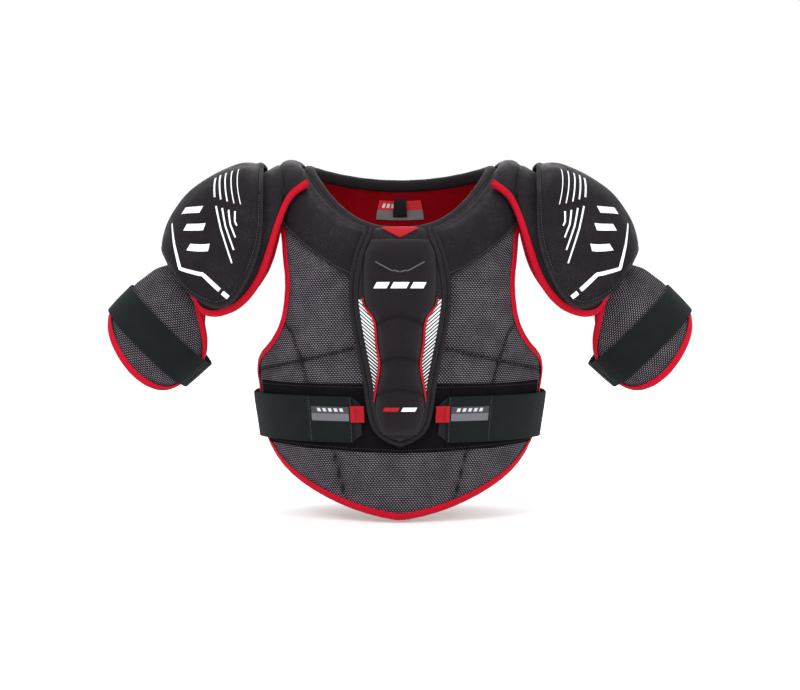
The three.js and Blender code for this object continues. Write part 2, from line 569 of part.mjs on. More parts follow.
// ---------------------------------------------------------------------------------------------------------------
// Shoulder wing and cap: saddles over the shoulder
// ---------------------------------------------------------------------------------------------------------------
/** A saddle with ribs from its front edge over its ridge to its back edge: u is -1 to 1, v 0 at the arm to 1. */
function saddle(halfDepth, ...outlines) {
  const stretch = (SHOULDER_X - NECK_HALF_WIDTH) / DRAWN_REACH;
  const place = (p) => p.isVector3
    ? p.toArray()
    : [SHOULDER_X + (p[0] < 0 ? p[0] * stretch : p[0]), p[1] * halfDepth, SHOULDER_Z + p[2]];
  const [front, ridge, back] = outlines.map((points) => curveThrough(points.map(place)));
  const face = (u, v) => {
    const edge = (u < 0 ? front : back).getPoint(1 - v);
    const top = ridge.getPoint(1 - v);
    const angle = (1 - Math.abs(u)) * Math.PI / 2;
    const rise = Math.sin(angle) ** SADDLE_SQUARENESS;
    return vector(mix(edge.x, top.x, rise), edge.y * Math.cos(angle) ** SADDLE_SQUARENESS, mix(edge.z, top.z, rise));
  };
  return (u, v, lift) => {
    const step = 0.012;
    const [u0, v0] = [THREE.MathUtils.clamp(u, step - 1, 1 - step), THREE.MathUtils.clamp(v, step, 1 - step)];
    const over = face(u0 + step, v0).sub(face(u0 - step, v0));
    const along = face(u0, v0 + step).sub(face(u0, v0 - step));
    return face(u, v).addScaledVector(over.cross(along).normalize(), lift);
  };
}

const [frontRoot, backRoot] = WING_ROOT_DEG.map((degrees) =>
  torso(degrees, WING_ROOT_HEIGHT, OVERLAY_GAP + YOKE + WING_CLEARANCE + WING));
const wing = saddle(WING_HALF_DEPTH, [frontRoot, ...WING_FRONT], WING_RIDGE, [backRoot, ...WING_BACK]);
const wingColumns = steps(12).map((t) => mix(-0.965, 0.965, t));
const wingRows = steps(9).map((t) => mix(0.035, 0.98, t));
addPair("wing_pad", padOn(wing, -WING, 0, wingColumns, wingRows), 0x222124);
addPair("wing_binding", tape(rim(wing, wingColumns, wingRows, WING_BINDING_RADIUS + WING_EDGE_GAP, -WING / 2),
  WING_BINDING_RADIUS), RED, 0.6);

const cap = saddle(CAP_HALF_DEPTH, CAP_FRONT, CAP_RIDGE, CAP_FRONT.map(([out, share, up]) => [out, -share, up]));
const capColumns = [-1, ...steps(8).map((t) => mix(CAP_MARGIN - 1, 1 - CAP_MARGIN, t)), 1];
const capRows = [0, CAP_MARGIN, 0.15, ...CAP_VENT_ROWS.flat(), 0.71, 0.81, 0.89, 1 - CAP_MARGIN, 1];
const capVent = (u, v) => Math.abs(u) > 0.225 && Math.abs(u) < 0.675 && within(CAP_VENT_ROWS, v);
const insideCap = (grid) => grid.slice(1, -1);
const shellFace = -CAP_COVER - LAYER_GAP;
const foamFace = shellFace - CAP_SHELL - LAYER_GAP;
addPair("cap_cover", padOn(cap, -CAP_COVER, 0, capColumns, capRows), BLACK, 0.75);
addPair("cap_shell", padOn(cap, shellFace - CAP_SHELL, shellFace, insideCap(capColumns), insideCap(capRows),
  capVent), 0x3a3a40, 0.4);
addPair("cap_foam", padOn(cap, foamFace - CAP_FOAM, foamFace, insideCap(capColumns), insideCap(capRows)), 0x77777c);

// ---------------------------------------------------------------------------------------------------------------
// Upper arm guard: a gutter round the outside of the arm, with its elastic strap
// ---------------------------------------------------------------------------------------------------------------
const guardOuter = tapered(GUARD_REACH, GUARD_REACH_TAPER);
const guardHalfWidth = tapered(GUARD_HALF_WIDTH, GUARD_WIDTH_TAPER);
const guardHalfDepth = tapered(GUARD_HALF_DEPTH, GUARD_DEPTH_TAPER);

/** A point on the arm guard's outer face: along the arm from the shoulder, and degrees round it from the front. */
function armFace(along, degrees, lift) {
  const halfWidth = guardHalfWidth(along);
  const across = guardOuter(along) - halfWidth + (halfWidth + lift) * Math.sin(radians(degrees));
  const [s, c] = [Math.sin(radians(ARM_DEG)), Math.cos(radians(ARM_DEG))];
  return vector(SHOULDER_X + s * along + c * across, -(guardHalfDepth(along) + lift) * Math.cos(radians(degrees)),
    SHOULDER_Z - c * along + s * across);
}

/** The guard's back edge is shaped like its front edge, but reaches less far round the arm. */
const backReach = (degrees) => 180 - degrees * (degrees < 0 ? GUARD_BACK_SHARE : 1);
const guardCurve = (points) => curveThrough(points.map(([degrees, along]) => [degrees, along, 0]));
const guardFront = guardCurve(GUARD_FRONT_EDGE);
const guardBack = guardCurve(GUARD_FRONT_EDGE.map(([degrees, along]) => [backReach(degrees), along]));
const guardFoot = guardCurve([...GUARD_FOOT,
  ...GUARD_FOOT.slice(0, -1).reverse().map(([degrees, along]) => [backReach(degrees), along])]);
const topDegrees = GUARD_FRONT_EDGE.at(-1)[0];
const guardPattern = patch((u) => guardFoot.getPointAt(u),
  (u) => vector(mix(topDegrees, backReach(topDegrees), u), GUARD_FRONT_EDGE.at(-1)[1], 0),
  (v) => guardFront.getPointAt(v), (v) => guardBack.getPointAt(v));
const guard = (u, v, lift) => {
  const p = guardPattern(u, v);
  return armFace(p.y, p.x, lift);
};
const guardColumns = steps(12).map((t) => mix(0.03, 0.97, t));
const guardRows = steps(7).map((t) => mix(0.06, 0.98, t));
addPair("arm_guard", padOn(guard, -GUARD, 0, guardColumns, guardRows), 0x35343a);
addPair("arm_guard_binding", tape(rim(guard, guardColumns, guardRows, GUARD_BINDING_RADIUS + EDGE_GAP, -GUARD / 2),
  GUARD_BINDING_RADIUS), RED, 0.6);

const strap = (degrees, share, lift) => armFace(STRAP_TOP + STRAP_WIDTH * share, degrees, STRAP_LIFT + lift);
const strapEnds = [STRAP_BACK_DEG + STRAP_SPLIT_DEG, 360 + STRAP_FRONT_DEG - STRAP_SPLIT_DEG];
addPair("arm_strap", padOn(strap, 0, STRAP_THICKNESS, beltSpan(STRAP_FRONT_DEG, STRAP_BACK_DEG, 14), steps(2)),
  0x17191a, 0.9);
addPair("arm_strap_tail", padOn(strap, 0, STRAP_THICKNESS, beltSpan(...strapEnds, 4), steps(2)), 0x17191a, 0.9);

export default part;
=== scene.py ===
"""Looks of a set of ice hockey shoulder pads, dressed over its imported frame.

Sizes are in millimetres, as on the maker's patterns, and become metres where a mesh is made.
"""
from __future__ import annotations

import logging
import math
from dataclasses import dataclass, field
from enum import Enum
from typing import Callable, Sequence

import bpy
import numpy as np
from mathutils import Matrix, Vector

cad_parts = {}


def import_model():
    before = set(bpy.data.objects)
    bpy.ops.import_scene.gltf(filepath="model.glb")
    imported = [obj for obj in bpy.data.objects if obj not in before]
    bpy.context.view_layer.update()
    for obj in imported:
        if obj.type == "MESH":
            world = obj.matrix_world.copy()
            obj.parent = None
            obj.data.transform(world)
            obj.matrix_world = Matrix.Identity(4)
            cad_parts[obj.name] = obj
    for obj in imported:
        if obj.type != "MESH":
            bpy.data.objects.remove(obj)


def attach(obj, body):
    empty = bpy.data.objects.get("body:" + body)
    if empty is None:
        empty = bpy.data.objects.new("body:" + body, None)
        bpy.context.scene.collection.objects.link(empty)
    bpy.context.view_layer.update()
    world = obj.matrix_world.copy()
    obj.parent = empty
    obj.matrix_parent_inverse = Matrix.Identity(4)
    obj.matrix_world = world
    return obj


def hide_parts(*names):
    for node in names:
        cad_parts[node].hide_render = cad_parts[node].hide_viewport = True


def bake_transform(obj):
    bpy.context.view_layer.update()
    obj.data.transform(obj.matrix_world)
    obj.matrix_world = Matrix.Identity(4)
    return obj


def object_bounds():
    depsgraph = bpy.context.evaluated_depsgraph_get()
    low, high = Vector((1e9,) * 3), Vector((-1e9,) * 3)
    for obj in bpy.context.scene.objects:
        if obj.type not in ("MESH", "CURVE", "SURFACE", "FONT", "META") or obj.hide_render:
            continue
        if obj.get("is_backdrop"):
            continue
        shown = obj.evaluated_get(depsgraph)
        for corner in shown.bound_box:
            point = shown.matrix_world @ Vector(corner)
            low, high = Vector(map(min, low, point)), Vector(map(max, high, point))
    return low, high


Array = np.ndarray
Pair = tuple[Array, Array]
Surface = Callable[[Array, Array], Pair]
Line = Sequence[tuple[float, float]]
Socket = bpy.types.NodeSocket
log = logging.getLogger("shoulder_pads")

MM = 0.001  # metres
SWELLS = 7  # waves that add up to one ripple
SWELL_GAIN = 1.6
CLOTH_MASS = 0.02
CLOTH_STEPS = 5


class Side(Enum):
    """A side of the wearer, with the sign of its X."""

    RIGHT = 1
    LEFT = -1

    @property
    def tag(self) -> str:
        """The side's name at the end of a piece's name."""
        return self.name.lower()


class Held(Enum):
    """How a cut sheet is held on the pads."""

    STRETCHED = "stretched"
    LAID = "laid"


# Curves
def unit(v: Array) -> Array:
    """Vectors at length one."""
    return v / np.maximum(np.linalg.norm(v, axis=-1, keepdims=True), 1e-9)


def mix(a: Array | float, b: Array | float, t: Array | float) -> Array | float:
    """The value at share t from a to b."""
    return a + (b - a) * t


def run_along(line: Array) -> Array:
    """The length of a line up to each of its points."""
    return np.concatenate([[0], np.linalg.norm(np.diff(line, axis=0), axis=1).cumsum()])


def halved(low: Array, high: Array, below: Callable[[Array], Array], rounds: int) -> Array:
    """Finds where a condition stops holding, by halving a range.

    Args:
        low: Values where it holds.
        high: Values where it doesn't.
        below: Tells for each value whether it holds.
        rounds: How often the range is halved.

    Returns:
        The last values where it holds.
    """
    for _ in range(rounds):
        middle = (low + high) / 2
        holds = below(middle)
        low, high = np.where(holds, middle, low), np.where(holds, high, middle)
    return low


def smooth(t: Array) -> Array:
    """An ease from 0 to 1 that is level at both ends."""
    t = np.clip(t, 0, 1)
    return t * t * (3 - 2 * t)


def through(stations: Line) -> Callable[[Array], Array]:
    """A smooth function through stations.

    Args:
        stations: Position and value of each, in rising order.

    Returns:
        The function, level past both ends.
    """
    x, y = np.array(stations, float).T
    last = len(x) - 1
    before, after = np.maximum(np.arange(last + 1) - 1, 0), np.minimum(np.arange(last + 1) + 1, last)
    slope = (y[after] - y[before]) / (x[after] - x[before])

    def read(at: Array) -> Array:
        """The value at each position.

        Args:
            at: The positions.

        Returns:
            The values.
        """
        at = np.clip(at, x[0], x[-1])
        i = np.clip(np.searchsorted(x, at) - 1, 0, last - 1)
        wide = x[i + 1] - x[i]
        t = (at - x[i]) / wide
        bend = t * (1 - t) * wide
        return y[i] + (y[i + 1] - y[i]) * smooth(t) + bend * ((1 - t) * slope[i] - t * slope[i + 1])

    return read


class Curve:
    """A smooth open curve through points."""

    def __init__(self, points: Sequence[Sequence[float]]) -> None:
        """Keeps the points and measures the curve.

        Args:
            points: The points it passes, in order.
        """
        self.points = np.array(points, float)
        self.shares = np.linspace(0, 1, 401)
        steps = np.linalg.norm(np.diff(self.at(self.shares), axis=0), axis=1)
        self.lengths = np.concatenate([[0], np.cumsum(steps)])

    def at(self, t: Array) -> Array:
        """Points at shares of the count of its points.

        Args:
            t: Shares of the count of its points.

        Returns:
            The points, and the directions out.
        """
        p = self.points
        last = len(p) - 1
        place = np.clip(t, 0, 1) * last
        i = np.minimum(place.astype(int), last - 1)
        w = (place - i)[..., None]
        ends = np.concatenate([[2 * p[0] - p[1]], p, [2 * p[-1] - p[-2]]])
        a, b, c, d = ends[i], ends[i + 1], ends[i + 2], ends[i + 3]
        t0, t1 = (c - a) / 2, (d - b) / 2
        return b + t0 * w + (3 * (c - b) - 2 * t0 - t1) * w**2 + (2 * (b - c) + t0 + t1) * w**3

    def along(self, share: Array) -> Array:
        """Points at shares of its length."""
        return self.at(np.interp(share * self.lengths[-1], self.lengths, self.shares))


def patch(bottom: Callable, top: Callable, left: Callable, right: Callable) -> Callable[[Array, Array], Array]:
    """The flat shape between four outlines that meet at its corners.

    Args:
        bottom: The outline along its foot.
        top: The outline along its top.
        left: The outline up its first side.
        right: The outline up its second side.

    Returns:
        Its points for shares across and up.
    """
    zero, one = np.zeros(1), np.ones(1)

    def inside(u: Array, v: Array) -> Array:
        """Points inside the outlines.

        Args:
            u: Shares across.
            v: Shares up.

        Returns:
            The points.
        """
        a, b = u[..., None], v[..., None]
        edges = bottom(u) * (1 - b) + top(u) * b + left(v) * (1 - a) + right(v) * a
        low = bottom(zero) * (1 - a) + bottom(one) * a
        high = top(zero) * (1 - a) + top(one) * a
        return edges - low * (1 - b) - high * b

    return inside


def ripple(a: Array, b: Array, wave: float, seed: int) -> Array:
    """Slow unevenness over a piece, from about -1 to 1.

    Args:
        a: First distance over the piece.
        b: Second distance over the piece.
        wave: Typical length of a swell.
        seed: Picks the pattern.

    Returns:
        The height at each place.
    """
    rng = np.random.default_rng(seed)
    total = np.zeros_like(a, float)
    for _ in range(SWELLS):
        turn, phase, scale = rng.uniform(0, np.pi), rng.uniform(0, 6.3), rng.uniform(0.7, 1.6)
        total += np.sin((a * np.cos(turn) + b * np.sin(turn)) * 6.283 * scale / wave + phase)
    return total / SWELLS * SWELL_GAIN


def from_line(x: Array, y: Array, line: Line) -> Array:
    """Distance of points to a broken line, in the line's own plane.

    Args:
        x: First coordinate of the points.
        y: Second coordinate of the points.
        line: The line's corners.

    Returns:
        The distances.
    """
    best = np.full(np.shape(x), 1e9)
    for (x0, y0), (x1, y1) in zip(line, line[1:]):
        dx, dy = x1 - x0, y1 - y0
        t = np.clip(((x - x0) * dx + (y - y0) * dy) / (dx * dx + dy * dy), 0, 1)
        best = np.minimum(best, np.hypot(x - x0 - t * dx, y - y0 - t * dy))
    return best


@dataclass(frozen=True)
class Crease:
    """A stitched channel that pulls the fabric down.

    Attributes:
        line: Where it runs, in the plane of its piece.
        depth: How far it goes down at its middle.
        width: Half width of the narrow channel.
        pull: How far the fabric beside it is drawn down.
        reach: How far to the side that shows.
    """

    line: tuple[tuple[float, float], ...]
    depth: float = 1.4
    width: float = 1.5
    pull: float = 0.7
    reach: float = 8.0

    def dip(self, x: Array, y: Array) -> Array:
        """How far the fabric lies below its plain face."""
        d = from_line(x, y, self.line)
        return self.depth * np.exp(-((d / self.width) ** 2)) + self.pull * np.exp(-((d / self.reach) ** 2))

    def shade(self, x: Array, y: Array) -> Array:
        """How deep in the channel a point is, from 0 to 1, for the painted shade there."""
        d = from_line(x, y, self.line)
        return np.exp(-((d / (0.7 * self.width)) ** 2)) + 0.25 * np.exp(-((d / (0.6 * self.reach)) ** 2))


# Meshes
@dataclass
class Shape:
    """A mesh in the making.

    Attributes:
        points: Its corners.
        faces: The corners of each face.
        flat: Where each corner lies on its fabric, for the weave.
        rim: How near each corner is to an edge, from 0 to 1, for the wear; below 0 down in a fold, where it paints
            shade.
    """

    points: Array
    faces: list[tuple[int, ...]]
    flat: Array
    rim: Array

    def outward(self) -> Shape:
        """The shape with its faces turned out."""
        p = self.points
        fan = np.array([(f[0], f[i], f[i + 1]) for f in self.faces for i in range(1, len(f) - 1)])
        volume = np.einsum("ij,ij->i", p[fan[:, 0]], np.cross(p[fan[:, 1]], p[fan[:, 2]])).sum()
        if volume < 0:
            self.faces = [f[::-1] for f in self.faces]
        return self

    def trimmed(self) -> Shape:
        """The shape without corners that no face uses."""
        used = np.unique(np.concatenate([np.array(f) for f in self.faces]))
        place = np.zeros(len(self.points), int)
        place[used] = np.arange(len(used))
        faces = [tuple(int(place[i]) for i in f) for f in self.faces]
        return Shape(self.points[used], faces, self.flat[used], self.rim[used])

    def mirrored(self) -> Shape:
        """The same shape on the wearer's other side."""
        return Shape(self.points * (-1, 1, 1), [f[::-1] for f in self.faces], self.flat * (-1, 1), self.rim)

    def on(self, side: Side) -> Shape:
        """The shape on one side; it is drawn on the right."""
        return self if side is Side.RIGHT else self.mirrored()

    @staticmethod
    def joined(shapes: Sequence[Shape]) -> Shape:
        """Several shapes as one.

        Args:
            shapes: The shapes.

        Returns:
            The joined shape.
        """
        faces: list[tuple[int, ...]] = []
        start = 0
        for s in shapes:
            faces += [tuple(i + start for i in f) for f in s.faces]
            start += len(s.points)
        parts = [(s.points, s.flat, s.rim) for s in shapes]
        points, flat, rim = (np.concatenate(column) for column in zip(*parts))
        return Shape(points, faces, flat, rim)

    def build(self, name: str, finish: Finish) -> bpy.types.Object:
        """Makes the object.

        Args:
            name: The piece's name.
            finish: What it is made of.

        Returns:
            The object, at the origin.
        """
        mesh = bpy.data.meshes.new(name)
        mesh.from_pydata((self.points * MM).tolist(), [], self.faces)
        corners = np.zeros(len(mesh.loops), int)
        mesh.loops.foreach_get("vertex_index", corners)
        mesh.uv_layers.new(name="flat").data.foreach_set("uv", (self.flat[corners] * MM).ravel())
        mesh.attributes.new("rim", "FLOAT", "POINT").data.foreach_set("value", self.rim.astype(np.float32))
        mesh.shade_smooth()
        mesh.materials.append(finish.material())
        return added(name, mesh)


def added(name: str, data: bpy.types.ID) -> bpy.types.Object:
    """An object for a mesh, lamp or camera, linked to the scene."""
    obj = bpy.data.objects.new(name, data)
    bpy.context.scene.collection.objects.link(obj)
    return obj


def filled(shape: Shape, held: Array, most: float, pressure: float = 500.0, frames: int = 12) -> Shape:
    """Lets the filling of a padded piece press its fabric out, as cloth.

    Args:
        shape: The piece, sewn but slack.
        held: How firmly each corner is held, from 0 to 1.
        most: The furthest that a corner may move.
        pressure: How hard the filling presses.
        frames: How many steps it takes.

    Returns:
        The piece, filled.
    """
    scene = bpy.context.scene
    mesh = bpy.data.meshes.new("slack")
    mesh.from_pydata((shape.points * MM).tolist(), [], shape.faces)
    obj = added("slack", mesh)
    group = obj.vertex_groups.new(name="held")
    level = np.round(np.clip(held, 0, 1) * 10).astype(int)
    for k in range(1, 11):
        group.add(np.flatnonzero(level == k).tolist(), k / 10, "REPLACE")
    cloth = obj.modifiers.new("filling", "CLOTH")
    for name, value in (("vertex_group_mass", "held"), ("mass", CLOTH_MASS), ("quality", CLOTH_STEPS),
                        ("use_pressure", True), ("uniform_pressure_force", pressure)):
        setattr(cloth.settings, name, value)
    cloth.settings.effector_weights.gravity = 0
    cloth.collision_settings.use_collision = False
    for frame in range(1, frames + 1):
        scene.frame_set(frame)
    result = obj.evaluated_get(bpy.context.evaluated_depsgraph_get()).to_mesh()
    places = np.zeros(len(result.vertices) * 3)
    result.vertices.foreach_get("co", places)
    moved = places.reshape(-1, 3) / MM - shape.points
    far = np.linalg.norm(moved, axis=1, keepdims=True)
    log.info("filling moved its fabric %.2f mm at most, %.2f mm on average", far.max(), far.mean())
    moved *= most * np.tanh(far / most) / np.maximum(far, 1e-9)
    bpy.data.objects.remove(obj)
    bpy.data.meshes.remove(mesh)
    scene.frame_set(1)
    return Shape(shape.points + moved, shape.faces, shape.flat, shape.rim)


def strip(a: Sequence[int], b: Sequence[int], loop: bool = False) -> list[tuple[int, ...]]:
    """Faces between two rows of corners."""
    n = len(a)
    return [(a[i], a[(i + 1) % n], b[(i + 1) % n], b[i]) for i in range(n if loop else n - 1)]


def gathered(low: float, high: float, count: int, edge: float) -> Array:
    """Stations from low to high, closer together within a share edge of both ends."""
    ends = edge * (1 - np.cos(np.linspace(0, np.pi / 2, 6)[:-1]))
    return mix(low, high, np.concatenate([ends, np.linspace(edge, 1 - edge, count), 1 - ends[::-1]]))


@dataclass
class Place:
    """Where the corners of a grid lie.

    Attributes:
        u: Share across the piece.
        v: Share up the piece.
        at: The point on the piece's own surface.
        out: The direction away from the wearer there.
        edge: Distance to the nearest edge of the piece.
    """

    u: Array
    v: Array
    at: Array
    out: Array
    edge: Array


@dataclass
class Grid:
    """A grid over a surface, on which layers are laid.

    Attributes:
        surface: Gives points and their outward directions.
        columns: Stations across.
        rows: Stations up.
        flat: Where a station lies on its fabric.
    """

    surface: Surface
    columns: Array
    rows: Array
    flat: Callable[[Array, Array], Pair] | None = None
    place: Place = field(init=False)

    def __post_init__(self) -> None:
        """Reads the surface once for every layer."""
        u, v = np.meshgrid(self.columns, self.rows)
        at, out = self.surface(u.ravel(), v.ravel())
        at, out = at.reshape(*u.shape, 3), out.reshape(*u.shape, 3)
        across = np.linalg.norm(np.diff(at, axis=1), axis=2).cumsum(1)
        up = np.linalg.norm(np.diff(at, axis=0), axis=2).cumsum(0)
        across = np.concatenate([np.zeros((len(self.rows), 1)), across], axis=1)
        up = np.concatenate([np.zeros((1, len(self.columns))), up], axis=0)
        sides = [across, across[:, -1:] - across, up, up[-1:] - up]
        near = sum(np.maximum(s, 1e-3) ** -3.0 for s in sides) ** (-1 / 3)
        near[[0, -1], :] = 0
        near[:, [0, -1]] = 0
        self.place = Place(u, v, at, out, near)
        if self.flat is None:
            middle_row, middle_column = len(self.rows) // 2, len(self.columns) // 2
            a = np.interp(u, self.columns, across[middle_row])
            b = np.interp(v, self.rows, up[:, middle_column])
            self._laid = np.stack([a, b], -1)
        else:
            self._laid = np.stack(self.flat(u, v), -1)

    def layer(self, inner: float, outer: float, relief: Array | float = 0.0, roll: float = 1.0,
              under: Array | float | None = None, fold: Array | float = 0.0,
              opening: Callable[[Array, Array], Array] | None = None) -> Shape:
        """A closed layer between two lifts, with rolled edges.

        Args:
            inner: Lift of its inner face.
            outer: Lift of its outer face.
            relief: What the outer face adds to that.
            roll: How far from the edge the rounding starts.
            under: What the inner face adds, the same as the outer one if it isn't given.
            fold: How deep in a fold each corner is; the finish darkens it by that as painted shade.
            opening: Tells from a cell's middle whether it is left open.

        Returns:
            The layer.
        """
        p = self.place
        under = relief if under is None else under
        share = np.sqrt(1 - (1 - np.clip(p.edge / roll, 0, 1)) ** 2)
        top, bottom = outer + relief + 0 * p.edge, inner + under + 0 * p.edge
        middle = (top + bottom) / 2
        faces = [p.at + p.out * (middle + (lift - middle) * share)[..., None] for lift in (top, bottom)]
        nv, nu = p.edge.shape
        index = np.arange(nu * nv).reshape(nv, nu)
        back = index.copy()
        back[1:-1, 1:-1] = nu * nv + np.arange((nu - 2) * (nv - 2)).reshape(nv - 2, nu - 2)
        shut = np.ones((nv + 1, nu + 1), bool)
        if opening is not None:
            middles = [(x[:-1, :-1] + x[1:, 1:]) / 2 for x in (p.u, p.v)]
            shut[1:-1, 1:-1] = ~opening(*middles)
        made: list[tuple[int, ...]] = []
        for j, i in zip(*np.nonzero(shut[1:-1, 1:-1])):
            ring = ((j, i), (j, i + 1), (j + 1, i + 1), (j + 1, i))
            made.append(tuple(int(index[c]) for c in ring))
            made.append(tuple(int(back[c]) for c in reversed(ring)))
            for k, (dj, di) in enumerate(((-1, 0), (0, 1), (1, 0), (0, -1))):
                if not shut[j + 1 + dj, i + 1 + di]:
                    a, b = ring[k], ring[(k + 1) % 4]
                    made.append(tuple(int(c) for c in (index[b], index[a], back[a], back[b])))
        inside = (slice(1, -1), slice(1, -1))
        points = np.concatenate([faces[0].reshape(-1, 3), faces[1][inside].reshape(-1, 3)])
        flat = np.concatenate([self._laid.reshape(-1, 2), self._laid[inside].reshape(-1, 2)])
        # Folds go below 0 here, where the finish paints shade.
        rim = np.exp(-p.edge / 4) - fold
        shape = Shape(points, made, flat, np.concatenate([rim.ravel(), rim[inside].ravel()])).outward()
        return shape if opening is None else shape.trimmed()

    def held(self, seam: Array, hem: float = 7.0) -> Array:
        """How firmly each corner of a layer is held: all over its inner face, and at its edges and seams outside.

        Args:
            seam: How near a seam each corner of the grid is, from 0 to 1.
            hem: How far the hold of an edge reaches.

        Returns:
            The hold, for the outer corners and then the inner ones.
        """
        outer = np.clip(1 - smooth(self.place.edge / hem) + seam, 0, 1)
        return np.concatenate([outer.ravel(), np.ones((len(self.rows) - 2) * (len(self.columns) - 2))])

    def read(self, values: Array, u: Array, v: Array) -> Array:
        """Values known at the grid's corners, read anywhere between them.

        Args:
            values: One value for each corner.
            u: Stations across.
            v: Stations up.

        Returns:
            The values there.
        """
        i = np.clip(np.interp(u, self.columns, np.arange(len(self.columns))), 0, len(self.columns) - 1.001)
        j = np.clip(np.interp(v, self.rows, np.arange(len(self.rows))), 0, len(self.rows) - 1.001)
        i0, j0 = i.astype(int), j.astype(int)
        low = mix(values[j0, i0], values[j0, i0 + 1], i - i0)
        high = mix(values[j0 + 1, i0], values[j0 + 1, i0 + 1], i - i0)
        return mix(low, high, j - j0)

    def border(self, trim_top: int = 0) -> tuple[Array, Array, Array]:
        """The line down one side, along the foot and up the other.

        Args:
            trim_top: How many rows it stops short of the top.

        Returns:
            Its points, the directions away from the wearer, and those away from the piece.
        """
        p = self.place
        top = len(self.rows) - trim_top
        ring = [(j, 0) for j in range(top - 1, 0, -1)] + [(0, i) for i in range(len(self.columns))]
        ring += [(j, len(self.columns) - 1) for j in range(1, top)]
        j, i = np.array(ring).T
        at, out = p.at[j, i], p.out[j, i]
        inner = p.at[np.clip(j, 6, len(self.rows) - 7), np.clip(i, 6, len(self.columns) - 7)]
        return at, out, outside(at, out, inner)


def outside(at: Array, out: Array, inner: Array) -> Array:
    """Directions across a line, away from points inside it."""
    away = unit(np.cross(np.gradient(at, axis=0), out))
    return away * np.sign(((at - inner) * away).sum(1).sum() or 1)


def evened(line: Array, rounds: int) -> Array:
    """A line with its kinks smoothed out and its ends kept.

    Args:
        line: The line's points.
        rounds: How often it is smoothed.

    Returns:
        The smoothed points.
    """
    line = line.copy()
    for _ in range(rounds):
        line[1:-1] = (line[:-2] + 2 * line[1:-1] + line[2:]) / 4
    return line


def spaced(line: Array, step: float) -> Pair:
    """Positions along a line at even steps.

    Args:
        line: The line's points.
        step: Distance between positions.

    Returns:
        The length of the line up to each of its points, and the even positions.
    """
    run = run_along(line)
    return run, np.linspace(0, run[-1], max(int(run[-1] / step), 2) + 1)


def swept(at: Array, away: Array, out: Array, section: Line, step: float = 3.0,
          loop: bool = False, wave: Callable[[Array, Array], Array] | None = None) -> Shape:
    """A closed section drawn along a line.

    Args:
        at: The line's points.
        away: First direction of the section at each.
        out: Second direction of the section at each.
        section: The section's corners in those directions.
        step: Distance between sections.
        loop: Whether the line is a ring.
        wave: Growth of the section for each place along it and corner round it.

    Returns:
        The swept shape.
    """
    if loop:
        at, away, out = (np.concatenate([a, a[:1]]) for a in (at, away, out))
    run, stops = spaced(at, step)
    at, away, out = (np.stack([np.interp(stops, run, a[:, k]) for k in range(3)], 1) for a in (at, away, out))
    if loop:
        at, away, out, stops = at[:-1], away[:-1], out[:-1], stops[:-1]
    shape = np.array(section, float)
    grow = np.ones((len(at), len(shape))) if wave is None else wave(stops[:, None], np.arange(len(shape))[None])
    points = at[:, None] + unit(away)[:, None] * (shape[:, 0] * grow)[..., None]
    points = points + unit(out)[:, None] * (shape[:, 1] * grow)[..., None]
    rows, k = len(at), len(shape)
    index = np.arange(rows * k).reshape(rows, k)
    faces = [f for j in range(rows if loop else rows - 1) for f in strip(index[j], index[(j + 1) % rows], True)]
    if not loop:
        for row in (index[0], index[-1]):
            half = k // 2
            a, b = row[:half], row[::-1][:half]
            cap = strip(a, b)
            faces += [f[::-1] for f in cap] if row is index[0] else cap
    girth = np.concatenate([[0], np.linalg.norm(np.diff(shape, axis=0), axis=1).cumsum()])
    flat = np.stack(np.broadcast_arrays(stops[:, None], girth[None]), -1).reshape(-1, 2)
    faces = [tuple(int(i) for i in f) for f in faces]
    return Shape(points.reshape(-1, 3), faces, flat, np.full(rows * k, 0.5)).outward()


def round_section(radius: float, sides: int = 12, squash: float = 1.0) -> list[tuple[float, float]]:
    """A round or oval section."""
    turns = [2 * math.pi * i / sides for i in range(sides)]
    return [(radius * math.cos(t), radius * squash * math.sin(t)) for t in turns]


def folded_section(back: float, bulge: float, half: float, tape: float) -> list[tuple[float, float]]:
    """The section of tape folded over an edge.

    Args:
        back: How far it lies on the faces, inwards from the line.
        bulge: How far it stands out past the line.
        half: Half its height at the line.
        tape: Its thickness.

    Returns:
        Its corners, outside first.
    """
    turns = [math.pi / 2 - math.pi * i / 8 for i in range(9)]
    outer = [(-back, half - 0.5)] + [(-back * s, half) for s in (0.9, 0.6, 0.3)]
    outer += [(bulge * math.cos(t), half * math.sin(t)) for t in turns]
    outer += [(-back * s, -half) for s in (0.3, 0.6, 0.9)] + [(-back, 0.5 - half)]
    inner = [(-back, half - tape)] + [(-back * s, half - tape) for s in (0.9, 0.6, 0.3)]
    inner += [((bulge - tape) * math.cos(t), (half - tape) * math.sin(t)) for t in turns]
    inner += [(-back * s, tape - half) for s in (0.3, 0.6, 0.9)] + [(-back, tape - half)]
    return outer + inner[::-1]


# Forms that the pieces lie on
def turned(degrees: Array) -> Pair:
    """Sine and cosine of degrees."""
    return np.sin(np.radians(degrees)), np.cos(np.radians(degrees))


def inset(size: float, taper: Line) -> Callable[[Array], Array]:
    """A size that stands inside its widest by a taper."""
    return through([(z, size - inside) for z, inside in taper])


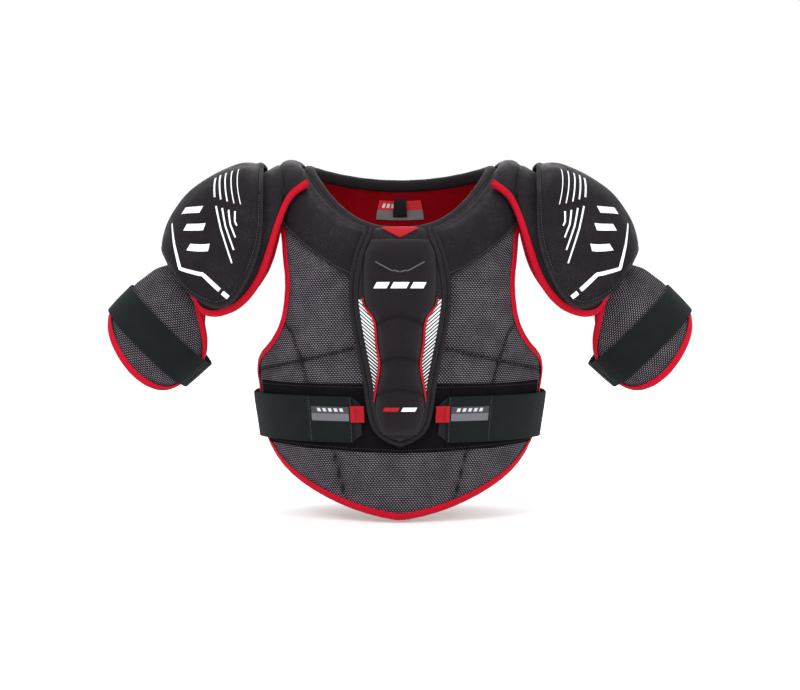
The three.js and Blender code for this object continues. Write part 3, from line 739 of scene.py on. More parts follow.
@dataclass
class Torso:
    """The vest's outer face: a body column that turns into a shoulder cape."""

    half_width: float = 174
    front: float = 119
    back: float = 111
    neck_half_width: float = 107
    neck_inset: float = 25
    neckline: tuple[float, float, float] = (-64, 9, -8)
    top: float = -110
    cape: float = 110
    square: float = 0.7
    turns: tuple[float, float] = (62, 90)

    def __post_init__(self) -> None:
        """Draws the column's outlines."""
        self.wide = inset(self.half_width, [(-400, 22), (-350, 17), (-306, 11), (-256, 4), (-226, 1), (-170, 0),
                                            (-110, 2)])
        self.deep = inset(self.front, [(-400, 13), (-330, 6), (-280, 2), (-220, 0), (-160, 1), (-110, 8)])
        self.rear = inset(self.back, [(-350, 11), (-280, 4), (-200, 0), (-110, 6)])

    def column(self, degrees: Array, height: Array) -> Array:
        """Points on the body column."""
        s, c = turned(degrees)
        depth = np.where(c >= 0, self.deep(height), self.rear(height))
        return np.stack([self.wide(height) * s, -depth * c, height], -1)

    def shoulder(self, degrees: Array, height: Array) -> Array:
        """Points on the shoulder cape.

        Args:
            degrees: Degrees round the body from the front.
            height: Heights on the pattern.

        Returns:
            The points.
        """
        s, c = turned(degrees)
        front = c >= 0
        foot = self.column(degrees, np.full_like(degrees, self.top))
        rise = np.where(front, np.abs(s) ** 2.6, np.abs(s) ** 2)
        neck_z = mix(np.where(front, self.neckline[0], self.neckline[2]), self.neckline[1], rise)
        depth = np.where(front, self.front, self.back) - self.neck_inset
        neck = np.stack([self.neck_half_width * s, -depth * c, neck_z], -1)
        turn = np.radians(mix(self.turns[0], self.turns[1], s * s))[:, None]
        angle = turn * np.linspace(0, 1, 61) ** 1.4
        share = (1 - np.maximum(np.cos(angle), 0) ** self.square) / (1 - np.maximum(np.cos(turn), 0) ** self.square)
        up = np.sin(angle) ** self.square / np.sin(turn) ** self.square
        along = np.stack([share, share, up], -1)
        line = foot[:, None] + (neck - foot)[:, None] * along
        steps = np.linalg.norm(np.diff(line, axis=1), axis=2).cumsum(1)
        run = np.concatenate([np.zeros((len(line), 1)), steps], 1)
        wanted = np.clip((height - self.top) / self.cape, 0, 1) * run[:, -1]
        i = np.clip((run <= wanted[:, None]).sum(1) - 1, 0, 59)
        rows = np.arange(len(line))
        t = (wanted - run[rows, i]) / np.maximum(run[rows, i + 1] - run[rows, i], 1e-9)
        return mix(line[rows, i], line[rows, i + 1], t[:, None])

    def face(self, degrees: Array, height: Array) -> Array:
        """Points at degrees round the body from the front, and heights on the pattern.

        Args:
            degrees: Degrees round the body from the front.
            height: Heights on the pattern.

        Returns:
            The points.
        """
        degrees, height = np.broadcast_arrays(np.asarray(degrees, float), np.asarray(height, float))
        points = self.column(degrees, height)
        above = height > self.top
        for part in np.array_split(np.flatnonzero(above), 1 + above.sum() // 20000):
            if len(part):
                points[part] = self.shoulder(degrees[part], height[part])
        return points

    def at(self, degrees: Array, height: Array) -> Pair:
        """Points and the directions out of the face there.

        Args:
            degrees: Degrees round the body from the front.
            height: Heights on the pattern.

        Returns:
            The points, and the directions out.
        """
        level = np.minimum(height, -3)
        across = self.face(degrees + 1.5, level) - self.face(degrees - 1.5, level)
        upward = self.face(degrees, level + 3) - self.face(degrees, level - 3)
        return self.face(degrees, height), unit(np.cross(across, upward))

    def chest(self, x: Array, z: Array) -> Pair:
        """The pattern's degrees and height over the chest at x and z.

        Args:
            x: X of the points.
            z: Z of the points.

        Returns:
            The degrees and heights.
        """
        degrees = np.degrees(np.arcsin(np.clip(x / self.wide(np.minimum(z, self.top)), -1, 1)))
        height = z.astype(float).copy()
        some = np.flatnonzero(z > self.top)
        if len(some):
            d, wanted = degrees[some], z[some]
            for _ in range(4):
                low = halved(np.full(len(some), float(self.top)), np.zeros(len(some)),
                             lambda middle, d=d: self.face(d, middle)[:, 2] < wanted, 16)
                reach = self.face(d, low)[:, 0]
                d = np.where(np.abs(reach) > 1, d * x[some] / np.where(reach == 0, 1, reach), d)
            degrees[some], height[some] = d, low
        return degrees, height


TORSO = Torso()
GIRTH = 2.6  # millimetres of pattern for each degree round the body
PANEL_SIDE = 0.958
SEAM = 89.7 / PANEL_SIDE
SEAM_SHARE = 0.09
THICK = 9.1  # cover, foam and liner
LENGTH = 399  # of the front panel, from the neckline to the hem
TAPE = 0.8  # thickness of the red edge tape
TAPE_STITCH = (3.2, (2.2, 0.7, 0.4))  # step, and the size of a stitch
STRAP_STITCH = (2.9, (2.0, 0.6, 0.4))
NECKLINE = 1 - 5.5 / LENGTH  # share of a panel's height where its layers end under the collar


@dataclass
class Pattern:
    """A flat half of a panel, in degrees round the body and height."""

    hem: Line
    side: Line
    behind: bool

    def __post_init__(self) -> None:
        """Draws its outlines."""
        hem, side = (Curve([(d * GIRTH, h) for d, h in line]) for line in (self.hem, self.side))
        edge, height = self.side[-1]
        low = self.hem[0][1]

        def up(v: Array) -> Array:
            """The outline up the side and along the shoulder seam."""
            seam = np.stack([np.full_like(v, edge * GIRTH), height * (1 - v) / SEAM_SHARE], -1)
            return np.where((v < 1 - SEAM_SHARE)[..., None], side.along(np.minimum(v / (1 - SEAM_SHARE), 1)), seam)

        self.inside = patch(hem.along, lambda u: np.stack([u * edge * GIRTH, 0 * u], -1),
                            lambda v: np.stack([0 * v, low * (1 - v)], -1), up)

    def lay(self, u: Array, v: Array) -> Pair:
        """Degrees from the panel's centre line and height, for u from -1 to 1 and v from hem to neckline."""
        p = self.inside(np.abs(u), v)
        return np.sign(u) * p[..., 0] / GIRTH, p[..., 1]

    def at(self, u: Array, v: Array) -> Pair:
        """Points on the vest and the directions out of it."""
        degrees, height = self.lay(u, v)
        return TORSO.at(180 - degrees if self.behind else degrees, height)

    def flat(self, u: Array, v: Array) -> Pair:
        """Where a point lies on the cloth."""
        degrees, height = self.lay(u, v)
        return degrees * 2.75, height


FRONT = Pattern(
    [(0, -399), (14, -391), (28, -379), (46, -359), (62, -336), (76.5, -306)],
    [(76.5, -306), (77.5, -256), (77.5, -241), (79.5, -226), (75, -211), (61.5, -193), (53, -167), (50.5, -130),
     (52, -97), (56, -64), (68.5, -41), (SEAM, -34)], behind=False)
BACK = Pattern(
    [(0, -348), (30, -345), (52, -336), (70, -319), (75, -306)],
    [(75, -306), (75, -262), (76, -240), (75, -222), (66, -205), (55, -190), (49, -167), (47, -130), (50, -97),
     (55, -64), (68, -41), (SEAM, -34)], behind=True)


@dataclass
class Saddle:
    """Ribs from a front edge over a ridge to a back edge; each point is out, share of half depth, and up."""

    half_depth: float
    front: Sequence
    ridge: Sequence
    back: Sequence
    arm: tuple[float, float] = (188, -74)
    drawn_reach: float = 81
    square: float = 0.92

    def __post_init__(self) -> None:
        """Places its outlines by the arm."""
        stretch = (self.arm[0] - TORSO.neck_half_width) / self.drawn_reach

        def place(p: Sequence[float]) -> Sequence[float]:
            """A drawn point in the part's frame; one of four numbers is there already."""
            if len(p) == 4:
                return p[:3]
            return (self.arm[0] + (p[0] * stretch if p[0] < 0 else p[0]), p[1] * self.half_depth, self.arm[1] + p[2])

        self.lines = [Curve([place(p) for p in line]) for line in (self.front, self.ridge, self.back)]

    def face(self, u: Array, v: Array) -> Array:
        """Points for u from -1 at the front to 1 at the back, and v from the arm to the neck.

        Args:
            u: Stations across.
            v: Stations up.

        Returns:
            The points.
        """
        front, ridge, back = self.lines
        edge = np.where((u < 0)[:, None], front.at(1 - v), back.at(1 - v))
        top = ridge.at(1 - v)
        angle = (1 - np.abs(u)) * np.pi / 2
        rise = np.sin(angle) ** self.square
        fall = np.cos(angle) ** self.square
        return np.stack([mix(edge[:, 0], top[:, 0], rise), edge[:, 1] * fall, mix(edge[:, 2], top[:, 2], rise)], -1)

    def at(self, u: Array, v: Array) -> Pair:
        """Points and the directions out of the saddle there.

        Args:
            u: Stations across.
            v: Stations up.

        Returns:
            The points, and the directions out.
        """
        step = 0.012
        u0, v0 = np.clip(u, step - 1, 1 - step), np.clip(v, step, 1 - step)
        over = self.face(u0 + step, v0) - self.face(u0 - step, v0)
        along = self.face(u0, v0 + step) - self.face(u0, v0 - step)
        return self.face(u, v), unit(np.cross(over, along))


@dataclass
class Arm:
    """The upper arm guard's outer face, along the arm and round it."""

    shoulder: tuple[float, float] = (188, -74)
    reach: float = 53
    half_width: float = 64
    half_depth: float = 58

    def __post_init__(self) -> None:
        """Draws its outlines."""
        self.outer = inset(self.reach, [(62, 17), (76, 15), (100, 4), (135, 0), (172, 1), (205, 5)])
        self.wide = inset(self.half_width, [(62, 11), (100, 4), (135, 0), (205, 4)])
        self.deep = inset(self.half_depth, [(62, 12), (93, 5), (135, 0), (205, 2)])

    def at(self, degrees: Array, along: Array) -> Pair:
        """Points on the guard's outer face, and the directions out.

        Args:
            degrees: Degrees round the arm from the front.
            along: Distances along the arm.

        Returns:
            The points, and the directions out.
        """
        s, c = turned(degrees)
        wide = self.wide(along)
        across = self.outer(along) - wide + wide * s
        d = math.sqrt(0.5)
        x = self.shoulder[0] + d * along + d * across
        z = self.shoulder[1] - d * along + d * across
        return np.stack([x, -self.deep(along) * c, z], -1), np.stack([d * s, -c, d * s], -1)


ARM = Arm()


# Finishes
Colour = tuple[float, float, float]
# Near-black of the painted shade in folds, seams and channels.
FOLD_SHADE_COLOUR: Colour = (0.0015, 0.0014, 0.0016)


class Shading:
    """A material's nodes in the making."""

    def __init__(self, name: str) -> None:
        """Starts an empty material.

        Args:
            name: The material's name.
        """
        self.material = bpy.data.materials.new(name)
        self.material.use_nodes = True
        self.tree = self.material.node_tree
        self.shader = self.tree.nodes["Principled BSDF"]

    def node(self, kind: str, *links: object, **sets: object) -> bpy.types.Node:
        """Adds a node.

        Args:
            kind: The node's type.
            links: What its inputs take, in order.
            sets: Its settings.

        Returns:
            The node.
        """
        made = self.tree.nodes.new(kind)
        for key, value in sets.items():
            setattr(made, key, value)
        for i, value in enumerate(links):
            self.put(made.inputs[i], value)
        return made

    def put(self, socket: Socket, value: object) -> None:
        """Links or sets one input.

        Args:
            socket: The input.
            value: A socket, a constant, or None to leave it.
        """
        if value is None:
            return
        if isinstance(value, bpy.types.NodeSocket):
            self.tree.links.new(value, socket)
        else:
            socket.default_value = value

    def math(self, operation: str, *values: Socket | float) -> Socket:
        """A value worked out from others."""
        return self.node("ShaderNodeMath", *values, operation=operation).outputs[0]

    def times(self, a: Socket, b: Socket | float) -> Socket:
        """The product of two values."""
        return self.math("MULTIPLY", a, b)

    def scaled(self, a: Socket, b: Socket | float, c: Socket | float) -> Socket:
        """The product of two values, and a third."""
        return self.math("MULTIPLY_ADD", a, b, c)

    def between(self, value: Socket, low: float, high: float, start: float = 0.0, end: float = 1.0) -> Socket:
        """A value eased from one range to another."""
        made = self.node("ShaderNodeMapRange", value, low, high, start, end, interpolation_type="SMOOTHSTEP")
        return made.outputs[0]

    def blend(self, share: Socket | float, a: Socket | Colour, b: Socket | Colour) -> Socket:
        """A colour between two.

        Args:
            share: How much of the second.
            a: The first colour.
            b: The second colour.

        Returns:
            The mixed colour.
        """
        made = self.node("ShaderNodeMix", data_type="RGBA")
        self.put(made.inputs[0], share)
        for i, c in ((6, a), (7, b)):
            self.put(made.inputs[i], (*c, 1.0) if isinstance(c, tuple) else c)
        return made.outputs[2]

    def body(self) -> Socket:
        """The place in the part's own frame, in millimetres."""
        coordinates = self.node("ShaderNodeTexCoord").outputs["Object"]
        return self.node("ShaderNodeVectorMath", coordinates, (1000.0,) * 3, operation="MULTIPLY").outputs[0]

    def cloth(self) -> tuple[Socket, Socket]:
        """The place on the fabric, in millimetres, as two values."""
        place = self.node("ShaderNodeUVMap", uv_map="flat").outputs[0]
        parts = self.node("ShaderNodeSeparateXYZ", place)
        return self.times(parts.outputs[0], 1000.0), self.times(parts.outputs[1], 1000.0)

    def noise(self, size: float, detail: float = 3.0, rough: float = 0.6) -> Socket:
        """Noise over the part.

        Args:
            size: Width of its blobs in millimetres.
            detail: How many finer layers it has.
            rough: How strong the finer layers are.

        Returns:
            Its value.
        """
        made = self.node("ShaderNodeTexNoise", self.body())
        made.inputs["Scale"].default_value = 1 / size
        made.inputs["Detail"].default_value = detail
        made.inputs["Roughness"].default_value = rough
        return made.outputs[0]

    def cells(self, size: float) -> Socket:
        """Distance to the nearest of cells that are size millimetres across."""
        made = self.node("ShaderNodeTexVoronoi", self.body())
        made.inputs["Scale"].default_value = 1 / size
        return made.outputs["Distance"]

    def wave(self, value: Socket, pitch: float) -> Socket:
        """Ridges from 0 to 1 with a pitch in millimetres."""
        turn = self.times(value, 2 * math.pi / pitch)
        return self.scaled(self.math("SINE", turn), 0.5, 0.5)

    def edge(self) -> Socket:
        """The rim attribute: above 0 near an edge, below 0 in a fold, where it carries painted shade."""
        return self.node("ShaderNodeAttribute", attribute_name="rim").outputs["Fac"]

    def rim(self) -> Socket:
        """How near an edge of its piece a point is."""
        return self.math("MAXIMUM", self.edge(), 0.0)

    def fold(self) -> Socket:
        """How deep in a fold or seam a point is, for the painted shade there."""
        depth = self.times(self.edge(), -1.0)
        return self.math("MINIMUM", self.math("MAXIMUM", depth, 0.0), 1.0)

    def bump(self, height: Socket, depth: float, strength: float = 1.0, below: Socket | None = None) -> Socket:
        """Bumps from a height.

        Args:
            height: The height, from 0 to 1.
            depth: What a height of 1 stands for, in millimetres.
            strength: How much of it is kept.
            below: The bumps under these.

        Returns:
            The normal.
        """
        made = self.node("ShaderNodeBump")
        made.inputs["Strength"].default_value = strength
        made.inputs["Distance"].default_value = depth / 1000
        self.put(made.inputs["Height"], height)
        self.put(made.inputs["Normal"], below)
        return made.outputs[0]

    def finish(self, colour: Socket | Colour, rough: Socket | float, normal: Socket | None, sheen: float = 0.0,
               gloss: float = 0.07) -> bpy.types.Material:
        """Joins up the shader, darkening folds and seams as painted shade.

        Args:
            colour: Its colour.
            rough: Its roughness.
            normal: Its bumps.
            sheen: How much fuzz catches the light.
            gloss: Its specular level.

        Returns:
            The material.
        """
        # Painted shade: folds and seams are darkened toward a near-black.
        shaded = self.blend(self.times(self.fold(), 0.9), colour, FOLD_SHADE_COLOUR)
        for name, value in (("Base Color", shaded), ("Roughness", rough), ("Normal", normal), ("Sheen Weight", sheen),
                            ("Sheen Roughness", 0.5), ("Specular IOR Level", gloss)):
            self.put(self.shader.inputs[name], value)
        return self.material


@dataclass(frozen=True)
class Finish:
    """What a piece is made of; made once for all its pieces.

    Attributes:
        name: The material's name.
        slot: The record's slot that it belongs to.
        colour: Its main colour.
    """

    name: str
    slot: str
    colour: Colour

    def material(self) -> bpy.types.Material:
        """The material, made the first time it is asked for."""
        return bpy.data.materials.get(self.name) or self.make(Shading(self.name))

    def make(self, s: Shading) -> bpy.types.Material:
        """Draws its nodes."""
        raise NotImplementedError


@dataclass(frozen=True)
class SpacerMesh(Finish):
    """Knitted mesh: staggered pale dashes over a dark ground."""

    dash: Colour = (0.27, 0.25, 0.29)
    pitch: float = 3.4
    row: float = 2.15

    def make(self, s: Shading) -> bpy.types.Material:
        """Draws its nodes.

        Args:
            s: The material in the making.

        Returns:
            The material.
        """
        a, b = s.cloth()
        rows = s.math("DIVIDE", b, self.row)
        shift = s.times(s.math("FLOORED_MODULO", s.math("FLOOR", rows), 2.0), 0.5)
        across = s.math("SUBTRACT", s.math("FRACT", s.math("ADD", s.math("DIVIDE", a, self.pitch), shift)), 0.5)
        up = s.math("SUBTRACT", s.math("FRACT", rows), 0.5)
        slope = s.scaled(across, 0.25, up)
        reach = s.math("ADD", s.math("POWER", s.math("DIVIDE", s.math("ABSOLUTE", across), 0.33), 2.0),
                       s.math("POWER", s.math("DIVIDE", s.math("ABSOLUTE", slope), 0.22), 2.0))
        dash = s.between(reach, 1.3, 0.55)
        patches = s.noise(22.0, 2.0)
        tone = s.times(dash, s.between(patches, 0.3, 0.7, 0.62, 1.0))
        yarn = s.noise(0.5, 2.0)
        ground = s.blend(s.between(yarn, 0.35, 0.7), self.colour, tuple(2.2 * c for c in self.colour))
        colour = s.blend(tone, ground, self.dash)
        worn = s.blend(s.times(s.rim(), 0.25), colour, (0.05, 0.05, 0.055))
        height = s.scaled(dash, 0.8, s.times(yarn, 0.3))
        return s.finish(worn, 0.8, s.bump(height, 0.35), sheen=0.0, gloss=0.07)


@dataclass(frozen=True)
class GrainedCloth(Finish):
    """Coated black cloth with a fine pebbled grain, with glints painted into its colour as pale specks."""

    # Colour of the painted glints on the grain.
    glint: Colour = (0.085, 0.075, 0.088)
    rough: float = 0.55

    def make(self, s: Shading) -> bpy.types.Material:
        """Draws its nodes.

        Args:
            s: The material in the making.

        Returns:
            The material.
        """
        grain = s.noise(0.85, 3.0, 0.65)
        specks = s.between(s.noise(0.6, 2.0, 0.7), 0.56, 0.70)
        patches = s.between(s.noise(34.0, 3.0), 0.38, 0.66)
        pebbles = s.cells(0.9)
        # Painted glints: pale specks blended into the colour stand in for highlights.
        painted_glint_share = s.times(specks, s.scaled(patches, 0.55, 0.2))
        colour = s.blend(painted_glint_share, self.colour, self.glint)
        worn = s.blend(s.times(s.rim(), 0.22), colour, (0.07, 0.07, 0.075))
        height = s.scaled(grain, 0.7, s.times(pebbles, 0.5))
        slow = s.bump(s.noise(9.0, 3.0), 0.7, 0.5)
        rough = s.between(s.noise(14.0), 0.3, 0.7, self.rough - 0.07, self.rough + 0.1)
        return s.finish(worn, rough, s.bump(height, 0.3, 0.9, slow), sheen=0.0, gloss=0.1)


@dataclass(frozen=True)
class RibbedCloth(Finish):
    """Tape or elastic with ribs along or across it.

    Attributes:
        along: Pitch of the ribs that cross its length.
        across: Pitch of the ribs that run along it.
        bright: Colour of the raised yarns.
        depth: Height of the ribs.
    """

    along: float = 0.9
    across: float = 1.1
    bright: Colour = (0.02, 0.02, 0.02)
    depth: float = 0.25
    sheen: float = 0.02
    rough: float = 0.7

    def make(self, s: Shading) -> bpy.types.Material:
        """Draws its nodes.

        Args:
            s: The material in the making.

        Returns:
            The material.
        """
        a, b = s.cloth()
        ribs = s.times(s.wave(a, self.along), s.scaled(s.wave(b, self.across), 0.6, 0.4))
        fuzz = s.noise(0.45, 2.0)
        tone = s.scaled(fuzz, 0.5, s.times(ribs, 0.6))
        colour = s.blend(tone, self.colour, self.bright)
        patches = s.blend(s.between(s.noise(26.0, 3.0), 0.35, 0.7, 0.0, 0.35), colour, self.bright)
        height = s.scaled(ribs, 0.9, s.times(fuzz, 0.25))
        slow = s.bump(s.noise(7.0, 2.0), 0.5, 0.35)
        return s.finish(patches, self.rough, s.bump(height, self.depth, 1.0, slow), sheen=self.sheen)


@dataclass(frozen=True)
class Pile(Finish):
    """Brushed or looped pile.

    Attributes:
        tuft: Size of a tuft.
        bright: Colour of the tips.
        sheen: How much the pile catches the light.
    """

    tuft: float = 1.2
    bright: Colour = (0.03, 0.03, 0.03)
    sheen: float = 0.03
    depth: float = 0.6

    def make(self, s: Shading) -> bpy.types.Material:
        """Draws its nodes.

        Args:
            s: The material in the making.

        Returns:
            The material.
        """
        tufts = s.noise(self.tuft, 4.0, 0.75)
        brushed = s.between(s.noise(28.0, 4.0, 0.6), 0.35, 0.68)
        colour = s.blend(s.between(tufts, 0.35, 0.72), self.colour, self.bright)
        shade = s.blend(s.times(brushed, 0.4), colour, self.bright)
        return s.finish(shade, 0.92, s.bump(tufts, self.depth), sheen=self.sheen, gloss=0.025)


@dataclass(frozen=True)
class Foam(Finish):
    """Open foam with fine cells."""

    def make(self, s: Shading) -> bpy.types.Material:
        """Draws its nodes."""
        pores = s.cells(1.1)
        colour = s.blend(s.between(pores, 0.1, 0.55), tuple(0.4 * c for c in self.colour), self.colour)
        return s.finish(colour, 0.95, s.bump(pores, 0.5), gloss=0.05)


@dataclass(frozen=True)
class Moulded(Finish):
    """Moulded plastic or rubber with a fine texture and rubbed edges."""

    rough: float = 0.45
    grain: float = 0.7
    rubbed: Colour = (0.09, 0.09, 0.095)

    def make(self, s: Shading) -> bpy.types.Material:
        """Draws its nodes.

        Args:
            s: The material in the making.

        Returns:
            The material.
        """
        texture = s.noise(self.grain, 3.0, 0.6)
        scuffs = s.between(s.noise(6.0, 6.0, 0.75), 0.56, 0.72, 0.0, 0.5)
        colour = s.blend(s.times(s.math("ADD", s.rim(), scuffs), 0.3), self.colour, self.rubbed)
        rough = s.between(s.noise(9.0, 4.0), 0.3, 0.7, self.rough - 0.08, self.rough + 0.14)
        return s.finish(colour, rough, s.bump(texture, 0.12), gloss=0.15)


@dataclass(frozen=True)
class Hatched(Finish):
    """A pale insert with slanting dark cuts that widen towards its foot."""

    cut: Colour = (0.012, 0.012, 0.013)
    pitch: float = 3.9
    slant: float = 0.85

    def make(self, s: Shading) -> bpy.types.Material:
        """Draws its nodes.

        Args:
            s: The material in the making.

        Returns:
            The material.
        """
        a, b = s.cloth()
        place = s.math("DIVIDE", s.scaled(s.math("ABSOLUTE", a), -self.slant, b), self.pitch)
        share = s.between(b, 4.0, 115.0, 0.70, 0.42)
        fall = s.math("ABSOLUTE", s.math("SUBTRACT", s.math("FRACT", place), 0.5))
        dark = s.between(s.math("SUBTRACT", s.times(share, 0.5), fall), -0.035, 0.035)
        weave = s.noise(0.5, 2.0)
        pale = s.blend(s.between(weave, 0.3, 0.7), tuple(0.8 * c for c in self.colour), self.colour)
        colour = s.blend(dark, pale, self.cut)
        height = s.math("SUBTRACT", s.times(weave, 0.2), s.times(dark, 0.8))
        return s.finish(colour, 0.6, s.bump(height, 0.3), gloss=0.15)


@dataclass(frozen=True)
class Printed(Finish):
    """A printed film over cloth, a little cracked and worn."""

    def make(self, s: Shading) -> bpy.types.Material:
        """Draws its nodes.

        Args:
            s: The material in the making.

        Returns:
            The material.
        """
        weave = s.noise(0.7, 3.0)
        worn = s.between(s.noise(1.6, 5.0, 0.7), 0.62, 0.74, 0.0, 0.45)
        colour = s.blend(worn, self.colour, (0.30, 0.31, 0.32))
        return s.finish(colour, s.between(weave, 0.3, 0.7, 0.42, 0.6), s.bump(weave, 0.18), gloss=0.2)


@dataclass(frozen=True)
class WovenLabel(Finish):
    """A woven label with two blocks of colour and a row of slanting bars.

    Attributes:
        size: Its width and height.
        foot: Colour of its lower part.
        mark: Colour of its bars.
        split: Share of its height where the lower part ends.
    """

    size: tuple[float, float] = (43.0, 17.0)
    foot: Colour = (0.03, 0.03, 0.033)
    mark: Colour = (0.6, 0.6, 0.62)
    split: float = 0.5

    def make(self, s: Shading) -> bpy.types.Material:
        """Draws its nodes.

        Args:
            s: The material in the making.

        Returns:
            The material.
        """
        a, b = s.cloth()
        across = s.math("DIVIDE", s.math("ABSOLUTE", a), self.size[0])
        up = s.math("DIVIDE", b, self.size[1])
        low = s.between(up, self.split + 0.02, self.split - 0.02)
        lean = s.scaled(up, -0.12, across)
        bars = s.times(s.between(s.math("FRACT", s.times(lean, 6.5)), 0.36, 0.44),
                      s.times(s.between(across, 0.10, 0.12), s.between(across, 0.90, 0.88)))
        band = s.times(s.between(up, self.split + 0.12, self.split + 0.15),
                      s.between(up, self.split + 0.38, self.split + 0.35))
        threads = s.times(s.wave(a, 0.7), s.wave(b, 0.5))
        base = s.blend(low, self.colour, self.foot)
        colour = s.blend(s.times(bars, band), base, self.mark)
        shade = s.blend(s.times(threads, 0.3), colour, tuple(1.6 * c for c in self.foot))
        return s.finish(shade, 0.55, s.bump(threads, 0.12), sheen=0.01, gloss=0.15)


class Kit:
    """The finishes of these pads."""

    MESH = SpacerMesh("spacer_mesh", "chest_mesh", (0.0060, 0.0045, 0.0060))
    FOAM = Foam("open_foam", "foam", (0.045, 0.045, 0.048))
    LINING = Pile("brushed_red_lining", "brushed_lining", (0.150, 0.0008, 0.003), tuft=1.4,
                  bright=(0.25, 0.0012, 0.006), sheen=0.01, depth=0.35)
    RED_TAPE = RibbedCloth("red_edge_tape", "edge_tape", (0.32, 0.0012, 0.009), bright=(0.47, 0.0025, 0.020),
                           along=1.0, across=3.0, depth=0.12, sheen=0.02, rough=0.55)
    BLACK_TAPE = RibbedCloth("woven_black_tape", "black_tape", (0.0045, 0.0036, 0.0046), bright=(0.019, 0.0165, 0.019),
                             along=0.9, across=1.6, depth=0.22, sheen=0.02, rough=0.6)
    CORD = RibbedCloth("black_cord", "black_tape", (0.0045, 0.0036, 0.0046), bright=(0.020, 0.017, 0.020),
                       along=2.2, across=9.0, depth=0.35, sheen=0.02, rough=0.6)
    LINK = RibbedCloth("black_link_cloth", "black_twill", (0.004, 0.0034, 0.0042), bright=(0.014, 0.012, 0.0145),
                       along=0.8, across=0.8, depth=0.15)
    TWILL = GrainedCloth("grained_black_cloth", "black_twill", (0.0062, 0.0042, 0.0062))
    SHELL = GrainedCloth("moulded_black_cloth", "moulded_twill", (0.0070, 0.0042, 0.0062), rough=0.5,
                         glint=(0.045, 0.036, 0.044))
    ELASTIC = RibbedCloth("ribbed_elastic", "elastic", (0.0032, 0.0048, 0.0052), bright=(0.0085, 0.0115, 0.0125),
                          along=0.9, across=1.5, depth=0.25)
    LOOP = Pile("dense_loop_pile", "loop_pile", (0.0022, 0.0019, 0.0025), tuft=1.3,
                bright=(0.0085, 0.0070, 0.0092), sheen=0.0)
    HOOK = RibbedCloth("woven_hook_tape", "hook_tape", (0.006, 0.006, 0.007), bright=(0.022, 0.022, 0.024), along=1.4,
                       across=1.4, depth=0.5)
    PLASTIC = Moulded("stiff_black_plastic", "moulded_plastic", (0.009, 0.009, 0.010))
    RED_RUBBER = Moulded("moulded_red_rubber", "red_rubber", (0.30, 0.0015, 0.008), rough=0.45, grain=1.4,
                         rubbed=(0.40, 0.015, 0.022))
    INSERT = Hatched("hatched_insert", "pale_insert", (0.80, 0.82, 0.84))
    TAG = WovenLabel("belt_label", "label", (0.035, 0.034, 0.040), foot=(0.12, 0.12, 0.135), mark=(0.55, 0.55, 0.57))
    NECK_LABEL = WovenLabel("neck_label", "label", (0.60, 0.008, 0.02), size=(38.0, 26.0), foot=(0.16, 0.16, 0.17),
                            mark=(0.75, 0.75, 0.76))
    PRINT = Printed("white_print", "black_twill", (0.80, 0.84, 0.86))
    GREY_PRINT = Printed("grey_print", "moulded_twill", (0.085, 0.085, 0.09))
    THREAD = RibbedCloth("black_thread", "black_tape", (0.03, 0.03, 0.032), bright=(0.07, 0.07, 0.075), along=0.5,
                         across=0.5, depth=0.05)
    GREY_THREAD = RibbedCloth("grey_thread", "black_tape", (0.07, 0.07, 0.075), bright=(0.14, 0.14, 0.15), along=0.5,
                              across=0.5, depth=0.05)
    RED_THREAD = RibbedCloth("red_thread", "edge_tape", (0.42, 0.004, 0.010), bright=(0.60, 0.008, 0.016), along=0.5,
                             across=0.5, depth=0.05)


